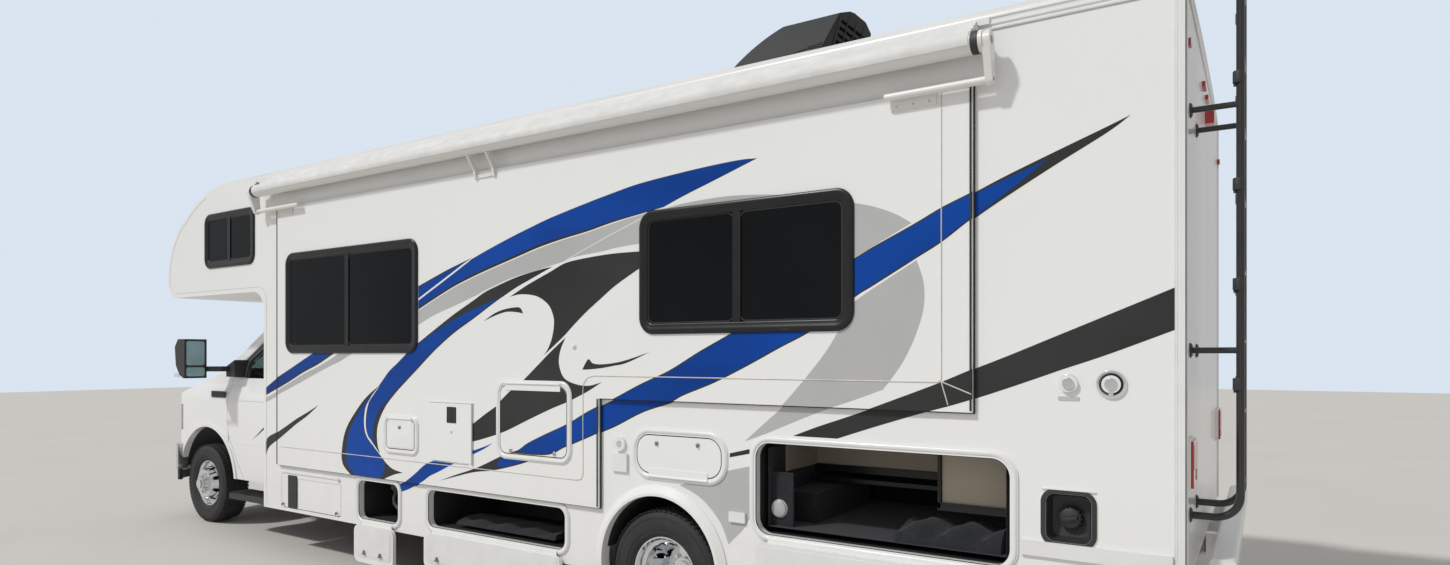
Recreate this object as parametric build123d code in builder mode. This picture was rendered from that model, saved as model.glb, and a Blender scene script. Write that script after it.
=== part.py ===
from build123d import *
import math
import os

os.makedirs("parts", exist_ok=True)

# A class C motorhome on a van-cab chassis. Millimetres.
# X points forward, Y to the vehicle's left, Z up. The origin is on the ground
# under the middle of the vehicle.

# Lengths along the vehicle, measured from the front axle
FRONT_OVERHANG = 750.0
WHEELBASE = 5710.0
REAR_WALL_STATION = 8276.0
TAIL_STATION = 8465.0
BOX_FRONT_STATION = 1556.0
ROOF_FRONT_STATION = 1060.0

# Coach shell
BODY_WIDTH = 2515.0
SIDE_WALL = 40.0
END_WALL = 45.0
SKIRT_Z = 345.0
REAR_SKIRT_Z = 420.0
REAR_WALL_LOW = 690.0
EAVE_Z = 3098.0
ROOF_EDGE = 14.0
ROOF_CROWN = 62.0
FLOOR_TOP = 880.0
FLOOR_THICK = 80.0
BUNK_UNDERSIDE = 2140.0
REST_GAP = 0.3

# Wheels and axles
TYRE_RADIUS = 372.0
TYRE_WIDTH = 225.0
RIM_RADIUS = 203.0
FRONT_TRACK = 1763.0
REAR_TRACK = 1979.0
TWIN_SPACING = 264.0
KINGPIN_Y = 775.0
REAR_ARCH_RADIUS = 400.0
REAR_ARCH_Z = 425.0
FRONT_ARCH_RADIUS = 525.0
FRONT_ARCH_STATION = 50.0
FRONT_ARCH_Z = 395.0

# Cab
CAB_HALF = 1007.0
CAB_SKIN = 40.0
SILL_Z = 464.0
CAB_FLOOR_TOP = 760.0
CAB_FLOOR_THICK = 30.0
DOOR_GAP = 6.0

# Chassis frame
RAIL_TOP = 680.0
RAIL_HEIGHT = 180.0
RAIL_WIDTH = 70.0
RAIL_WALL = 8.0
RAIL_INSIDE = 395.0

# Slide room
SLIDE_FRONT = 1805.0
SLIDE_STEP = 5284.0
SLIDE_REAR = 7460.0
SLIDE_LOW = 716.0
SLIDE_STEP_Z = 1355.0
SLIDE_HIGH = 2800.0
SLIDE_LAP = 70.0
SLIDE_GAP = 10.0
SLIDE_SILL_Z = 890.0
FLANGE_GAP = 5.0
FLANGE_THICK = 22.0
SLIDE_WALL = 35.0
SLIDE_DEPTH = 640.0

# Frames and doors of the lockers
RING_WIDTH = 34.0
RING_PROUD = 7.0
HINGE_RADIUS = 6.0
HINGE_OFFSET = 14.0
LOCKER_DOOR_THICK = 26.0
LINER = 6.0

# Windows
FRAME_WIDTH = 60.0
FRAME_PROUD = 14.0
FRAME_LAP = 45.0

HALF = BODY_WIDTH / 2
SLIDE_FACE = HALF + FLANGE_GAP + FLANGE_THICK
FRONT_AXLE_X = (TAIL_STATION - FRONT_OVERHANG) / 2


def station(behind):
    """X of a place that lies so far behind the front axle."""
    return FRONT_AXLE_X - behind


def side_plane(y):
    """Upright lengthwise plane at y: sketch axes X and Z, normal to the right."""
    return Plane.XZ.offset(-y)


def cross_plane(behind):
    """Upright crosswise plane: sketch axes Y and Z, normal forward."""
    return Plane.YZ.offset(station(behind))


def span(front, rear, low, high, radius):
    """Rounded rectangle between two stations and two heights, in a side sketch."""
    middle = ((station(front) + station(rear)) / 2, (low + high) / 2)
    with Locations(middle):
        if radius > 0:
            RectangleRounded(rear - front, high - low, radius)
        else:
            Rectangle(rear - front, high - low)


def block(front, rear, y_low, y_high, low, high, mode=Mode.ADD):
    """Plain box between two stations, two widths and two heights."""
    with Locations((station(rear), y_low, low)):
        Box(rear - front, y_high - y_low, high - low,
            align=(Align.MIN, Align.MIN, Align.MIN), mode=mode)


def save(shape, name):
    """Label a finished piece and write it."""
    shape.label = name
    export_step(shape, "parts/" + name + ".step")


# Side outline of the coach, seen from the side: nose, bunk, notch and skirt
NOSE_POINTS = {
    "roof": (ROOF_FRONT_STATION, EAVE_Z + ROOF_EDGE),
    "brow": (520.0, 3030.0),
    "crest": (180.0, 2850.0),
    "bridge": (-70.0, 2610.0),
    "tip": (-150.0, 2345.0),
    "chin": (-118.0, 2205.0),
    "lip": (-20.0, BUNK_UNDERSIDE),
}
NOTCH_RADIUS = 170.0


def at(name):
    """Sketch point of a named nose point."""
    behind, height = NOSE_POINTS[name]
    return (station(behind), height)


def coach_outline(rear, low, top):
    """Closed side outline of the coach up to a rear station."""
    notch_top = (station(BOX_FRONT_STATION - NOTCH_RADIUS), BUNK_UNDERSIDE)
    notch_side = (station(BOX_FRONT_STATION), BUNK_UNDERSIDE - NOTCH_RADIUS)
    dip = NOTCH_RADIUS * (1 - math.sqrt(0.5))
    notch_mid = (notch_side[0] + dip, BUNK_UNDERSIDE - dip)
    with BuildSketch() as outline:
        with BuildLine():
            ThreePointArc(at("roof"), at("brow"), at("crest"))
            ThreePointArc(at("crest"), at("bridge"), at("tip"))
            ThreePointArc(at("tip"), at("chin"), at("lip"))
            Line(at("lip"), notch_top)
            ThreePointArc(notch_top, notch_mid, notch_side)
            Polyline(notch_side, (station(BOX_FRONT_STATION), low), (station(rear), low),
                     (station(rear), top))
            if top < EAVE_Z + ROOF_EDGE:
                Polyline((station(rear), top), (station(ROOF_FRONT_STATION), top), at("roof"))
            else:
                Line((station(rear), top), at("roof"))
        make_face()
    return outline.sketch


# Openings of the walls.
# Lockers: name, side, face, front, rear, low, high, radius, hinge, stored open, ring, depth
LOCKERS = (
    ("battery_door", 1, HALF, 1830.0, 2665.0, 372.0, 650.0, 30.0, 1, False, False, 560.0),
    ("service_door", 1, HALF, 2895.0, 3372.0, 396.0, 681.0, 60.0, -1, True, True, 450.0),
    ("long_door", 1, HALF, 3705.0, 4999.0, 426.0, 681.0, 60.0, -1, True, True, 600.0),
    ("wheel_door", 1, HALF, 5555.0, 6133.0, 946.0, 1165.0, 90.0, -1, False, True, 380.0),
    ("trunk_door_left", 1, HALF, 6340.0, 7615.0, 692.0, 1160.0, 80.0, -1, True, True, 0.0),
    ("trunk_door_right", -1, HALF, 6340.0, 7615.0, 692.0, 1160.0, 80.0, 1, False, True, 0.0),
    ("gas_door", -1, HALF, 2300.0, 3000.0, 396.0, 681.0, 60.0, 1, False, True, 450.0),
)
SLIDE_DOORS = (
    ("access_door", 1, SLIDE_FACE, 4457.0, 5043.0, 984.0, 1416.0, 55.0, 1, False, True, 0.0),
    ("water_hatch", 1, SLIDE_FACE, 3276.0, 3598.0, 940.0, 1145.0, 30.0, 1, False, True, 0.0),
)

# Windows: name, side, face, front, rear, low, high, radius, divider station
COACH_WINDOWS = (
    ("bunk_left", 1, HALF, 565.0, 1415.0, 2375.0, 2860.0, 90.0, 995.0),
    ("bunk_right", -1, HALF, 565.0, 1415.0, 2375.0, 2860.0, 90.0, 995.0),
    ("kitchen", -1, HALF, 2350.0, 3450.0, 1720.0, 2400.0, 90.0, 2900.0),
    ("bedroom", -1, HALF, 6500.0, 7250.0, 1720.0, 2400.0, 90.0, 6875.0),
)
SLIDE_WINDOWS = (
    ("sofa", 1, SLIDE_FACE, 1950.0, 3625.0, 1620.0, 2420.0, 95.0, 2790.0),
    ("bed", 1, SLIDE_FACE, 5595.0, 6900.0, 1722.0, 2410.0, 95.0, 6245.0),
)

# Entry door, on the right
ENTRY_FRONT = 4470.0
ENTRY_REAR = 5150.0
ENTRY_LOW = 690.0
ENTRY_HIGH = 2570.0
ENTRY_RADIUS = 80.0
ENTRY_DOOR_THICK = 36.0
STEP_WELL_DEPTH = 330.0
STEP_TRAVEL = 280.0
STEP_LOW = 520.0
STEP_THICK = 50.0
STEP_DEPTH = 290.0
STEP_RAIL_WIDTH = 24.0
STEP_RAIL_LENGTH = 617.0
STEP_NOTCH_TOP = 600.0
STEP_RAILS = (ENTRY_FRONT + 40, ENTRY_REAR - 40 - STEP_RAIL_WIDTH)

# Fuel filler recess, on the left
FILLER_FRONT = 7753.0
FILLER_REAR = 7947.0
FILLER_LOW = 822.0
FILLER_HIGH = 1038.0
FILLER_DEPTH = 90.0


# Awning over the slide room: its roller and the rail on the wall
ROLLER_FRONT = 1585.0
ROLLER_REAR = 7530.0
AWNING_RAIL_LOW = 3045.0
AWNING_RAIL_HIGH = 3075.0
AWNING_RAIL_PROUD = 18.0


def slide_outline(inset):
    """L-shaped outline of the slide room, so far inside its flange."""
    front = station(SLIDE_FRONT + inset)
    rear = station(SLIDE_REAR - inset)
    step = station(SLIDE_STEP - inset)
    high = SLIDE_HIGH - inset
    step_z = SLIDE_STEP_Z + inset
    low = SLIDE_LOW if inset == 0 else SLIDE_SILL_Z + inset - SLIDE_LAP
    with BuildSketch() as outline:
        with BuildLine():
            Polyline((front, high), (rear, high), (rear, step_z), (step, step_z),
                     (step, low), (front, low), close=True)
        make_face()
    return outline.sketch


def wheel_arch(y_low, y_high, radius, behind, height, mode):
    """Cylinder across the body around a wheel."""
    plane = Plane(origin=(station(behind), y_low, height), x_dir=(1, 0, 0), z_dir=(0, 1, 0))
    with BuildSketch(plane) as disc:
        Circle(radius)
    extrude(disc.sketch, amount=y_high - y_low, mode=mode)


def cut_openings(side, doors, windows, inner, outer):
    """Rounded openings through a wall for its doors and windows."""
    plane = side_plane(side * outer)
    depth = side * (outer - inner)
    for name, place, face, front, rear, low, high, radius, *rest in doors:
        if place == side:
            with BuildSketch(plane) as opening:
                span(front, rear, low, high, radius)
            extrude(opening.sketch, amount=depth, mode=Mode.SUBTRACT)
    for name, place, face, front, rear, low, high, radius, divider in windows:
        if place == side:
            with BuildSketch(plane) as opening:
                span(front + FRAME_LAP, rear - FRAME_LAP, low + FRAME_LAP, high - FRAME_LAP,
                     radius - FRAME_LAP)
            extrude(opening.sketch, amount=depth, mode=Mode.SUBTRACT)


def add_rings(side, doors):
    """Raised frames around the locker openings."""
    for name, place, face, front, rear, low, high, radius, hinge, is_open, ring, depth in doors:
        if place == side and ring:
            with BuildSketch(side_plane(side * face)) as frame:
                span(front - RING_WIDTH, rear + RING_WIDTH, low - RING_WIDTH, high + RING_WIDTH,
                     radius + RING_WIDTH)
                with BuildSketch(mode=Mode.PRIVATE) as hole:
                    span(front, rear, low, high, radius)
                add(hole.sketch, mode=Mode.SUBTRACT)
            extrude(frame.sketch, amount=-side * RING_PROUD)


FLARE_WIDTH = 58.0
FLARE_PROUD = 30.0


def add_flare(side):
    """Flared lip around the rear wheel arch."""
    centre = (station(WHEELBASE), side * HALF, REAR_ARCH_Z)
    plane = Plane(origin=centre, x_dir=(1, 0, 0), z_dir=(0, 0, 1))
    with BuildSketch(plane) as lip:
        with BuildLine():
            inner = REAR_ARCH_RADIUS
            outer = REAR_ARCH_RADIUS + FLARE_WIDTH
            Polyline((inner, -side), (inner, side * FLARE_PROUD),
                     (inner + 16, side * FLARE_PROUD), (outer, side * 8), (outer, -side),
                     close=True)
        make_face()
    revolve(lip.sketch, axis=Axis(centre, (0, 1, 0)), revolution_arc=360)


def side_wall(side):
    """One side of the coach, from the bunk to the tail."""
    rear = REAR_WALL_STATION - END_WALL
    rear_wheel_front = WHEELBASE - REAR_ARCH_RADIUS
    with BuildPart() as wall:
        with BuildSketch(side_plane(side * HALF)):
            add(coach_outline(rear, SKIRT_Z, EAVE_Z))
        extrude(amount=side * SIDE_WALL)
        add_rings(side, LOCKERS)
        add_flare(side)
        block(WHEELBASE - 2 * REAR_ARCH_RADIUS, WHEELBASE + 2 * REAR_ARCH_RADIUS,
              -HALF - 2 * FLARE_PROUD, HALF + 2 * FLARE_PROUD,
              REAR_ARCH_Z - 2 * REAR_ARCH_RADIUS, SKIRT_Z, mode=Mode.SUBTRACT)
        block(WHEELBASE + REAR_ARCH_RADIUS + FLARE_WIDTH, REAR_WALL_STATION,
              -HALF - 1, HALF + 1, SKIRT_Z - 1, REAR_SKIRT_Z, mode=Mode.SUBTRACT)
        wheel_arch(-HALF - 2 * FLARE_PROUD, HALF + 2 * FLARE_PROUD, REAR_ARCH_RADIUS,
                   WHEELBASE, REAR_ARCH_Z, Mode.SUBTRACT)
        cut_openings(side, LOCKERS, COACH_WINDOWS, HALF - SIDE_WALL - 1, HALF + RING_PROUD)
        with BuildSketch(side_plane(side * HALF)):
            if side > 0:
                add(slide_outline(SLIDE_LAP))
                span(FILLER_FRONT, FILLER_REAR, FILLER_LOW, FILLER_HIGH, 45.0)
            else:
                span(ENTRY_FRONT, ENTRY_REAR, ENTRY_LOW, ENTRY_HIGH, ENTRY_RADIUS)
                span(ENTRY_FRONT + 20, ENTRY_REAR - 20, SKIRT_Z - 50, STEP_NOTCH_TOP, 30)
        extrude(amount=side * SIDE_WALL, mode=Mode.SUBTRACT)
        if side > 0:
            block(ROLLER_FRONT, ROLLER_REAR, HALF - 1, HALF + AWNING_RAIL_PROUD,
                  AWNING_RAIL_LOW, AWNING_RAIL_HIGH)
    return wall


left_wall = side_wall(1)
save(left_wall.part, "left_wall")

right_wall = side_wall(-1)
save(right_wall.part, "right_wall")

# Rear wall, with rounded corner posts and the holes of the plate holder
REAR_CORNER_RADIUS = 32.0
PLATE_Y = -430.0
PLATE_Z = 960.0
PLATE_HOLES_WIDE = 177.8
PLATE_HOLES_HIGH = 120.65
PLATE_HOLE_RADIUS = 3.2
with BuildPart() as rear_wall:
    block(REAR_WALL_STATION - END_WALL, REAR_WALL_STATION, -HALF, HALF, REAR_WALL_LOW, EAVE_Z)
    corners = rear_wall.edges().filter_by(Axis.Z).group_by(Axis.X)[0]
    fillet(corners, radius=REAR_CORNER_RADIUS)
    with BuildSketch(cross_plane(REAR_WALL_STATION)):
        with Locations((PLATE_Y, PLATE_Z)):
            with GridLocations(PLATE_HOLES_WIDE, PLATE_HOLES_HIGH, 2, 2):
                Circle(PLATE_HOLE_RADIUS)
    extrude(amount=END_WALL, mode=Mode.SUBTRACT)
save(rear_wall.part, "rear_wall")

# Roof: flat at the nose, crowned behind it
ROOF_BLEND = 900.0


def roof_section(crown):
    """Cross section of the roof with its crown."""
    edge = EAVE_Z + ROOF_EDGE
    with BuildSketch() as section:
        with BuildLine():
            Polyline((-HALF, edge), (-HALF, EAVE_Z), (HALF, EAVE_Z), (HALF, edge))
            ThreePointArc((HALF, edge), (0, edge + crown), (-HALF, edge))
        make_face()
    return section.sketch


with BuildPart() as roof:
    with BuildSketch(cross_plane(ROOF_FRONT_STATION)):
        add(roof_section(2.0))
    with BuildSketch(cross_plane(ROOF_FRONT_STATION + ROOF_BLEND)):
        add(roof_section(ROOF_CROWN - ROOF_EDGE))
    loft()
    with BuildSketch(cross_plane(ROOF_FRONT_STATION + ROOF_BLEND)):
        add(roof_section(ROOF_CROWN - ROOF_EDGE))
    extrude(amount=-(REAR_WALL_STATION - ROOF_FRONT_STATION - ROOF_BLEND))
save(roof.part, "roof")

# Floor of the coach, stepped up over the trunk, with wheel wells and the step well
TRUNK_FRONT = 6240.0
TRUNK_TOP = 1210.0
FLOOR_HALF = HALF - SIDE_WALL - REST_GAP
WELL_INSIDE = 700.0
WELL_WALL = 8.0
FLOOR_FRONT = BOX_FRONT_STATION + END_WALL + REST_GAP
FLOOR_REAR = REAR_WALL_STATION - END_WALL - REST_GAP
RUNNER_HEIGHT = 9.7
with BuildPart() as coach_floor:
    block(FLOOR_FRONT, TRUNK_FRONT, -FLOOR_HALF, FLOOR_HALF, FLOOR_TOP - FLOOR_THICK, FLOOR_TOP)
    block(TRUNK_FRONT - FLOOR_THICK, TRUNK_FRONT, -FLOOR_HALF, FLOOR_HALF,
          FLOOR_TOP - FLOOR_THICK, TRUNK_TOP + FLOOR_THICK)
    block(TRUNK_FRONT - FLOOR_THICK, FLOOR_REAR, -FLOOR_HALF, FLOOR_HALF,
          TRUNK_TOP, TRUNK_TOP + FLOOR_THICK)
    for side in (-1, 1):
        low_y = WELL_INSIDE if side > 0 else -FLOOR_HALF
        wheel_arch(low_y, low_y + FLOOR_HALF - WELL_INSIDE,
                   REAR_ARCH_RADIUS + WELL_WALL, WHEELBASE, REAR_ARCH_Z, Mode.ADD)
    for side in (-1, 1):
        inner = WELL_INSIDE + WELL_WALL
        low_y = inner if side > 0 else -FLOOR_HALF - 1
        wheel_arch(low_y, low_y + FLOOR_HALF + 1 - inner,
                   REAR_ARCH_RADIUS, WHEELBASE, REAR_ARCH_Z, Mode.SUBTRACT)
    block(WHEELBASE - 2 * REAR_ARCH_RADIUS, WHEELBASE + 2 * REAR_ARCH_RADIUS, -HALF, HALF,
          0, REAR_ARCH_Z + 60, mode=Mode.SUBTRACT)
    block(ENTRY_FRONT - 20, ENTRY_REAR + 20, -FLOOR_HALF, -FLOOR_HALF + STEP_WELL_DEPTH,
          ENTRY_LOW - 30, FLOOR_TOP)
    block(ENTRY_FRONT, ENTRY_REAR, -HALF, -FLOOR_HALF + STEP_WELL_DEPTH - 20,
          ENTRY_LOW - 10, FLOOR_TOP + 1, mode=Mode.SUBTRACT)
    for rail, away in zip(STEP_RAILS, (-1, 1)):
        edge = rail if away < 0 else rail + STEP_RAIL_WIDTH
        ends = sorted((edge + away * 6, edge + away * 22))
        block(ends[0], ends[1], -FLOOR_HALF, -HALF + STEP_RAIL_LENGTH, STEP_LOW - 20,
              ENTRY_LOW - 29)
        ends = sorted((edge - away * 10, edge + away * 22))
        block(ends[0], ends[1], -FLOOR_HALF, -HALF + STEP_RAIL_LENGTH, STEP_LOW - 20,
              STEP_LOW - REST_GAP)
        block(ends[0], ends[1], -FLOOR_HALF + STEP_WELL_DEPTH - 1, -HALF + STEP_RAIL_LENGTH,
              ENTRY_LOW - 60, FLOOR_TOP - FLOOR_THICK + 1)
    for runner in (2400.0, 3600.0, 4800.0):
        block(runner, runner + 60, HALF - SIDE_WALL - SLIDE_DEPTH, HALF - SIDE_WALL - 40,
              FLOOR_TOP, FLOOR_TOP + RUNNER_HEIGHT)
save(coach_floor.part, "coach_floor")


# Slide room: flanged outer wall with the room's floor, ceiling and ends behind it
with BuildPart() as slide_room:
    with BuildSketch(side_plane(SLIDE_FACE)):
        add(slide_outline(0))
    extrude(amount=FLANGE_THICK)
    add_rings(1, SLIDE_DOORS)
    with BuildSketch(side_plane(SLIDE_FACE - FLANGE_THICK)):
        add(slide_outline(SLIDE_LAP + SLIDE_GAP))
    extrude(amount=SLIDE_WALL)
    with BuildSketch(side_plane(SLIDE_FACE - FLANGE_THICK - SLIDE_WALL)):
        add(slide_outline(SLIDE_LAP + SLIDE_GAP))
        with BuildSketch(mode=Mode.PRIVATE) as hollow:
            add(slide_outline(SLIDE_LAP + SLIDE_GAP + SLIDE_WALL))
        add(hollow.sketch, mode=Mode.SUBTRACT)
    extrude(amount=SLIDE_DEPTH - SLIDE_WALL)
    cut_openings(1, SLIDE_DOORS, SLIDE_WINDOWS, SLIDE_FACE - FLANGE_THICK - SLIDE_WALL - 1,
                 SLIDE_FACE + RING_PROUD)
save(slide_room.part, "slide_room")


def window_units(windows, wall):
    """Framed panes, each with its divider, set into a wall of that thickness."""
    for name, side, face, front, rear, low, high, radius, divider in windows:
        seat = side * (face + REST_GAP)
        with BuildSketch(side_plane(seat)) as frame:
            span(front, rear, low, high, radius)
        extrude(frame.sketch, amount=-side * (FRAME_PROUD - REST_GAP))
        plug = FRAME_LAP + 2
        with BuildSketch(side_plane(seat)) as inset:
            span(front + plug, rear - plug, low + plug, high - plug, radius - plug)
        extrude(inset.sketch, amount=side * wall)
        with BuildSketch(side_plane(side * (face + FRAME_PROUD))) as panes:
            for first, last in ((front + FRAME_WIDTH, divider - 14),
                                (divider + 14, rear - FRAME_WIDTH)):
                span(first, last, low + FRAME_WIDTH, high - FRAME_WIDTH, radius - 50)
        extrude(panes.sketch, amount=side * 10, mode=Mode.SUBTRACT)


with BuildPart() as coach_windows:
    window_units(COACH_WINDOWS, SIDE_WALL)
save(coach_windows.part, "coach_windows")

with BuildPart() as slide_windows:
    window_units(SLIDE_WINDOWS, FLANGE_THICK + SLIDE_WALL)
save(slide_windows.part, "slide_windows")


# Locker doors: a plate, a hinge barrel on the frame and the leaf between them
def locker_door(side, face, front, rear, low, high, radius, hinge, is_open, ring):
    """One locker door, closed, or hanging open by its bottom hinge."""
    proud = RING_PROUD if ring else 0.0
    axis_out = proud + REST_GAP + HINGE_RADIUS
    edge = low if hinge < 0 else high
    origin = ((station(front) + station(rear)) / 2, side * (face + axis_out),
              edge + hinge * HINGE_OFFSET)
    turn = -1 if is_open else 1
    across = Vector(0, 0, -hinge * turn)
    outward = Vector(0, side * turn, 0)
    plane = Plane(origin=origin, x_dir=across.cross(outward), z_dir=outward)
    width = rear - front
    height = high - low
    first = HINGE_OFFSET + DOOR_GAP
    with BuildPart() as door:
        with BuildSketch(plane.offset(-HINGE_RADIUS)):
            with Locations((0, HINGE_OFFSET + height / 2)):
                RectangleRounded(width - 2 * DOOR_GAP, height - 2 * DOOR_GAP, radius - DOOR_GAP)
        extrude(amount=-LOCKER_DOOR_THICK)
        with BuildSketch(plane.offset(-HINGE_RADIUS)):
            with Locations((0, (first + 24) / 2)):
                Rectangle(width - 2 * radius, first + 24)
        extrude(amount=4)
        barrel = Plane(origin=origin, x_dir=(0, 1, 0), z_dir=(1, 0, 0))
        with BuildSketch(barrel.offset(-width / 2 + radius)):
            Circle(HINGE_RADIUS)
        extrude(amount=width - 2 * radius)
    return door


for name, side, face, front, rear, low, high, radius, hinge, is_open, ring, depth in (
        LOCKERS + SLIDE_DOORS):
    door = locker_door(side, face, front, rear, low, high, radius, hinge, is_open, ring)
    save(door.part, name)

# Locker liners, open towards their doors; the trunk runs through from side to side
with BuildPart() as lockers:
    for name, side, face, front, rear, low, high, radius, hinge, is_open, ring, depth in LOCKERS:
        if depth > 0:
            mouth = HALF - SIDE_WALL - REST_GAP
            sides = sorted((side * mouth, side * (mouth - depth)))
            hollow = sorted((side * (mouth + 1), side * (mouth - depth + LINER)))
            block(front - LINER, rear + LINER, sides[0], sides[1], low - LINER, high + LINER)
            block(front, rear, hollow[0], hollow[1], low, high, mode=Mode.SUBTRACT)
    trunk = [row for row in LOCKERS if row[0] == "trunk_door_left"][0]
    trunk_mouth = HALF - SIDE_WALL - REST_GAP
    block(trunk[3] - LINER, trunk[4] + LINER, -trunk_mouth, trunk_mouth,
          trunk[5] - LINER, trunk[6] + LINER)
    block(trunk[3], trunk[4], -trunk_mouth - 1, trunk_mouth + 1, trunk[5], trunk[6],
          mode=Mode.SUBTRACT)
save(lockers.part, "lockers")

# Entry door on the right, hinged at its front edge
ENTRY_HINGE_OUT = REST_GAP + HINGE_RADIUS
with BuildPart() as entry_door:
    with BuildSketch(side_plane(-HALF - REST_GAP)):
        span(ENTRY_FRONT + DOOR_GAP, ENTRY_REAR - DOOR_GAP, ENTRY_LOW + DOOR_GAP,
             ENTRY_HIGH - DOOR_GAP, ENTRY_RADIUS - DOOR_GAP)
    extrude(amount=-ENTRY_DOOR_THICK)
    block(ENTRY_FRONT - HINGE_OFFSET, ENTRY_FRONT + 30, -HALF - REST_GAP - 4, -HALF - REST_GAP,
          ENTRY_LOW + ENTRY_RADIUS, ENTRY_HIGH - ENTRY_RADIUS)
    with BuildSketch(Plane.XY.offset(ENTRY_LOW + ENTRY_RADIUS)):
        with Locations((station(ENTRY_FRONT - HINGE_OFFSET), -HALF - ENTRY_HINGE_OUT)):
            Circle(HINGE_RADIUS)
    extrude(amount=ENTRY_HIGH - ENTRY_LOW - 2 * ENTRY_RADIUS)
save(entry_door.part, "entry_door")

# Entry step, drawn out from two rails under the floor
with BuildPart() as entry_step:
    block(ENTRY_FRONT + 40, ENTRY_REAR - 40, -HALF + 20, -HALF + 20 + STEP_DEPTH, STEP_LOW,
          STEP_LOW + STEP_THICK)
    for rail in STEP_RAILS:
        block(rail, rail + STEP_RAIL_WIDTH, -HALF + 20, -HALF + 20 + STEP_RAIL_LENGTH, STEP_LOW,
              STEP_LOW + STEP_THICK)
save(entry_step.part, "entry_step")


# Cab: one outer form from three profiles, used again for its skins and glass
CAB_REAR = BOX_FRONT_STATION - REST_GAP
CAB_TOP = BUNK_UNDERSIDE - REST_GAP
SCREEN_FOOT = (220.0, 1440.0)
SCREEN_HEAD = (1060.0, 1990.0)
NOSE_FRONT = 705.0


def cab_plan(grow, rear):
    """Outline of the cab seen from above, grown by so much."""
    with BuildSketch() as outline:
        with BuildLine():
            Polyline((station(rear), 0), (station(rear), CAB_HALF), (station(-470), CAB_HALF))
            ThreePointArc((station(-470), CAB_HALF), (station(-572), 912), (station(-630), 760))
            ThreePointArc((station(-630), 760), (station(-690), 420), (station(-NOSE_FRONT), 0))
            mirror(about=Plane.XZ)
        make_face()
        offset(amount=grow, kind=Kind.INTERSECTION)
    return outline.sketch


def cab_form(inset, tail=0.0, drop=0.0):
    """Solid form of the cab, so far inside its outer skin, its open ends drawn past."""
    rear = CAB_REAR + tail
    low = SILL_Z - drop
    front = -NOSE_FRONT
    with BuildPart() as form:
        with BuildSketch(side_plane(CAB_HALF)):
            with BuildLine():
                ThreePointArc((station(front + 5), 1060), (station(front + 19), 1124),
                              (station(front + 65), 1172))
                ThreePointArc((station(front + 65), 1172), (station(-235), 1312),
                              (station(SCREEN_FOOT[0]), SCREEN_FOOT[1]))
                Line((station(SCREEN_FOOT[0]), SCREEN_FOOT[1]),
                     (station(SCREEN_HEAD[0]), SCREEN_HEAD[1]))
                ThreePointArc((station(SCREEN_HEAD[0]), SCREEN_HEAD[1]), (station(1230), 2085),
                              (station(1440), CAB_TOP))
                Polyline((station(1440), CAB_TOP), (station(rear), CAB_TOP), (station(rear), low),
                         (station(front + 85), low), (station(front + 10), 700),
                         (station(front + 5), 1060))
            make_face()
            offset(amount=-inset, kind=Kind.INTERSECTION)
        extrude(amount=2 * CAB_HALF)
        with BuildSketch(Plane.XY.offset(low - 10)):
            add(cab_plan(-inset, rear + 10))
        extrude(amount=2 * CAB_TOP, mode=Mode.INTERSECT)
        with BuildSketch(cross_plane(rear + 10)):
            with BuildLine():
                Polyline((0, low - 10), (CAB_HALF, low - 10), (CAB_HALF, 1150))
                ThreePointArc((CAB_HALF, 1150), (994, 1240), (960, 1330))
                Line((960, 1330), (830, 1990))
                ThreePointArc((830, 1990), (800, 2090), (700, CAB_TOP))
                Line((700, CAB_TOP), (0, CAB_TOP))
                mirror(about=Plane.YZ)
            make_face()
            offset(amount=-inset, kind=Kind.INTERSECTION)
        extrude(amount=rear + NOSE_FRONT + 100, mode=Mode.INTERSECT)
    return form.part


def cab_skin(outer, inner):
    """Layer of the cab form between two depths, open at the back and below."""
    with BuildPart() as skin:
        add(cab_form(outer))
        add(cab_form(inner, tail=200.0, drop=200.0), mode=Mode.SUBTRACT)
    return skin.part


def door_region(side, grow):
    """Prism through the cab's side over its door, grown by a gap."""
    points = ((438, 1117), (438, 1400), (480, 1500), (1100, 1906), (1240, 1965), (1500, 1985),
              (1500, SILL_Z - 40), (770, SILL_Z - 40), (734, SILL_Z), (620, 621), (454, 863),
              (428, 1000))
    with BuildPart() as region:
        with BuildSketch(side_plane(side * (CAB_HALF + 40))):
            with BuildLine():
                Polyline([(station(behind), height) for behind, height in points], close=True)
            make_face()
            if grow:
                offset(amount=grow, kind=Kind.INTERSECTION)
        extrude(amount=side * (CAB_HALF - 560))
    return region.part


def glass_region(side, grow):
    """Prism through the door over its window."""
    points = ((640, 1392), (640, 1535), (1130, 1852), (1250, 1905), (1440, 1920), (1440, 1392))
    with BuildPart() as region:
        with BuildSketch(side_plane(side * (CAB_HALF + 40))):
            with BuildLine():
                Polyline([(station(behind), height) for behind, height in points], close=True)
            make_face()
            if grow:
                offset(amount=grow, kind=Kind.INTERSECTION)
        extrude(amount=side * (CAB_HALF - 560))
    return region.part


def screen_region(grow):
    """Prism through the front of the cab over the windscreen."""
    with BuildPart() as region:
        with BuildSketch(cross_plane(1120)):
            with BuildLine():
                Polyline((-850, 1480), (850, 1480), (735, 1968), (-735, 1968), close=True)
            make_face()
            offset(amount=grow, kind=Kind.INTERSECTION)
        extrude(amount=1100)
    return region.part


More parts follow.
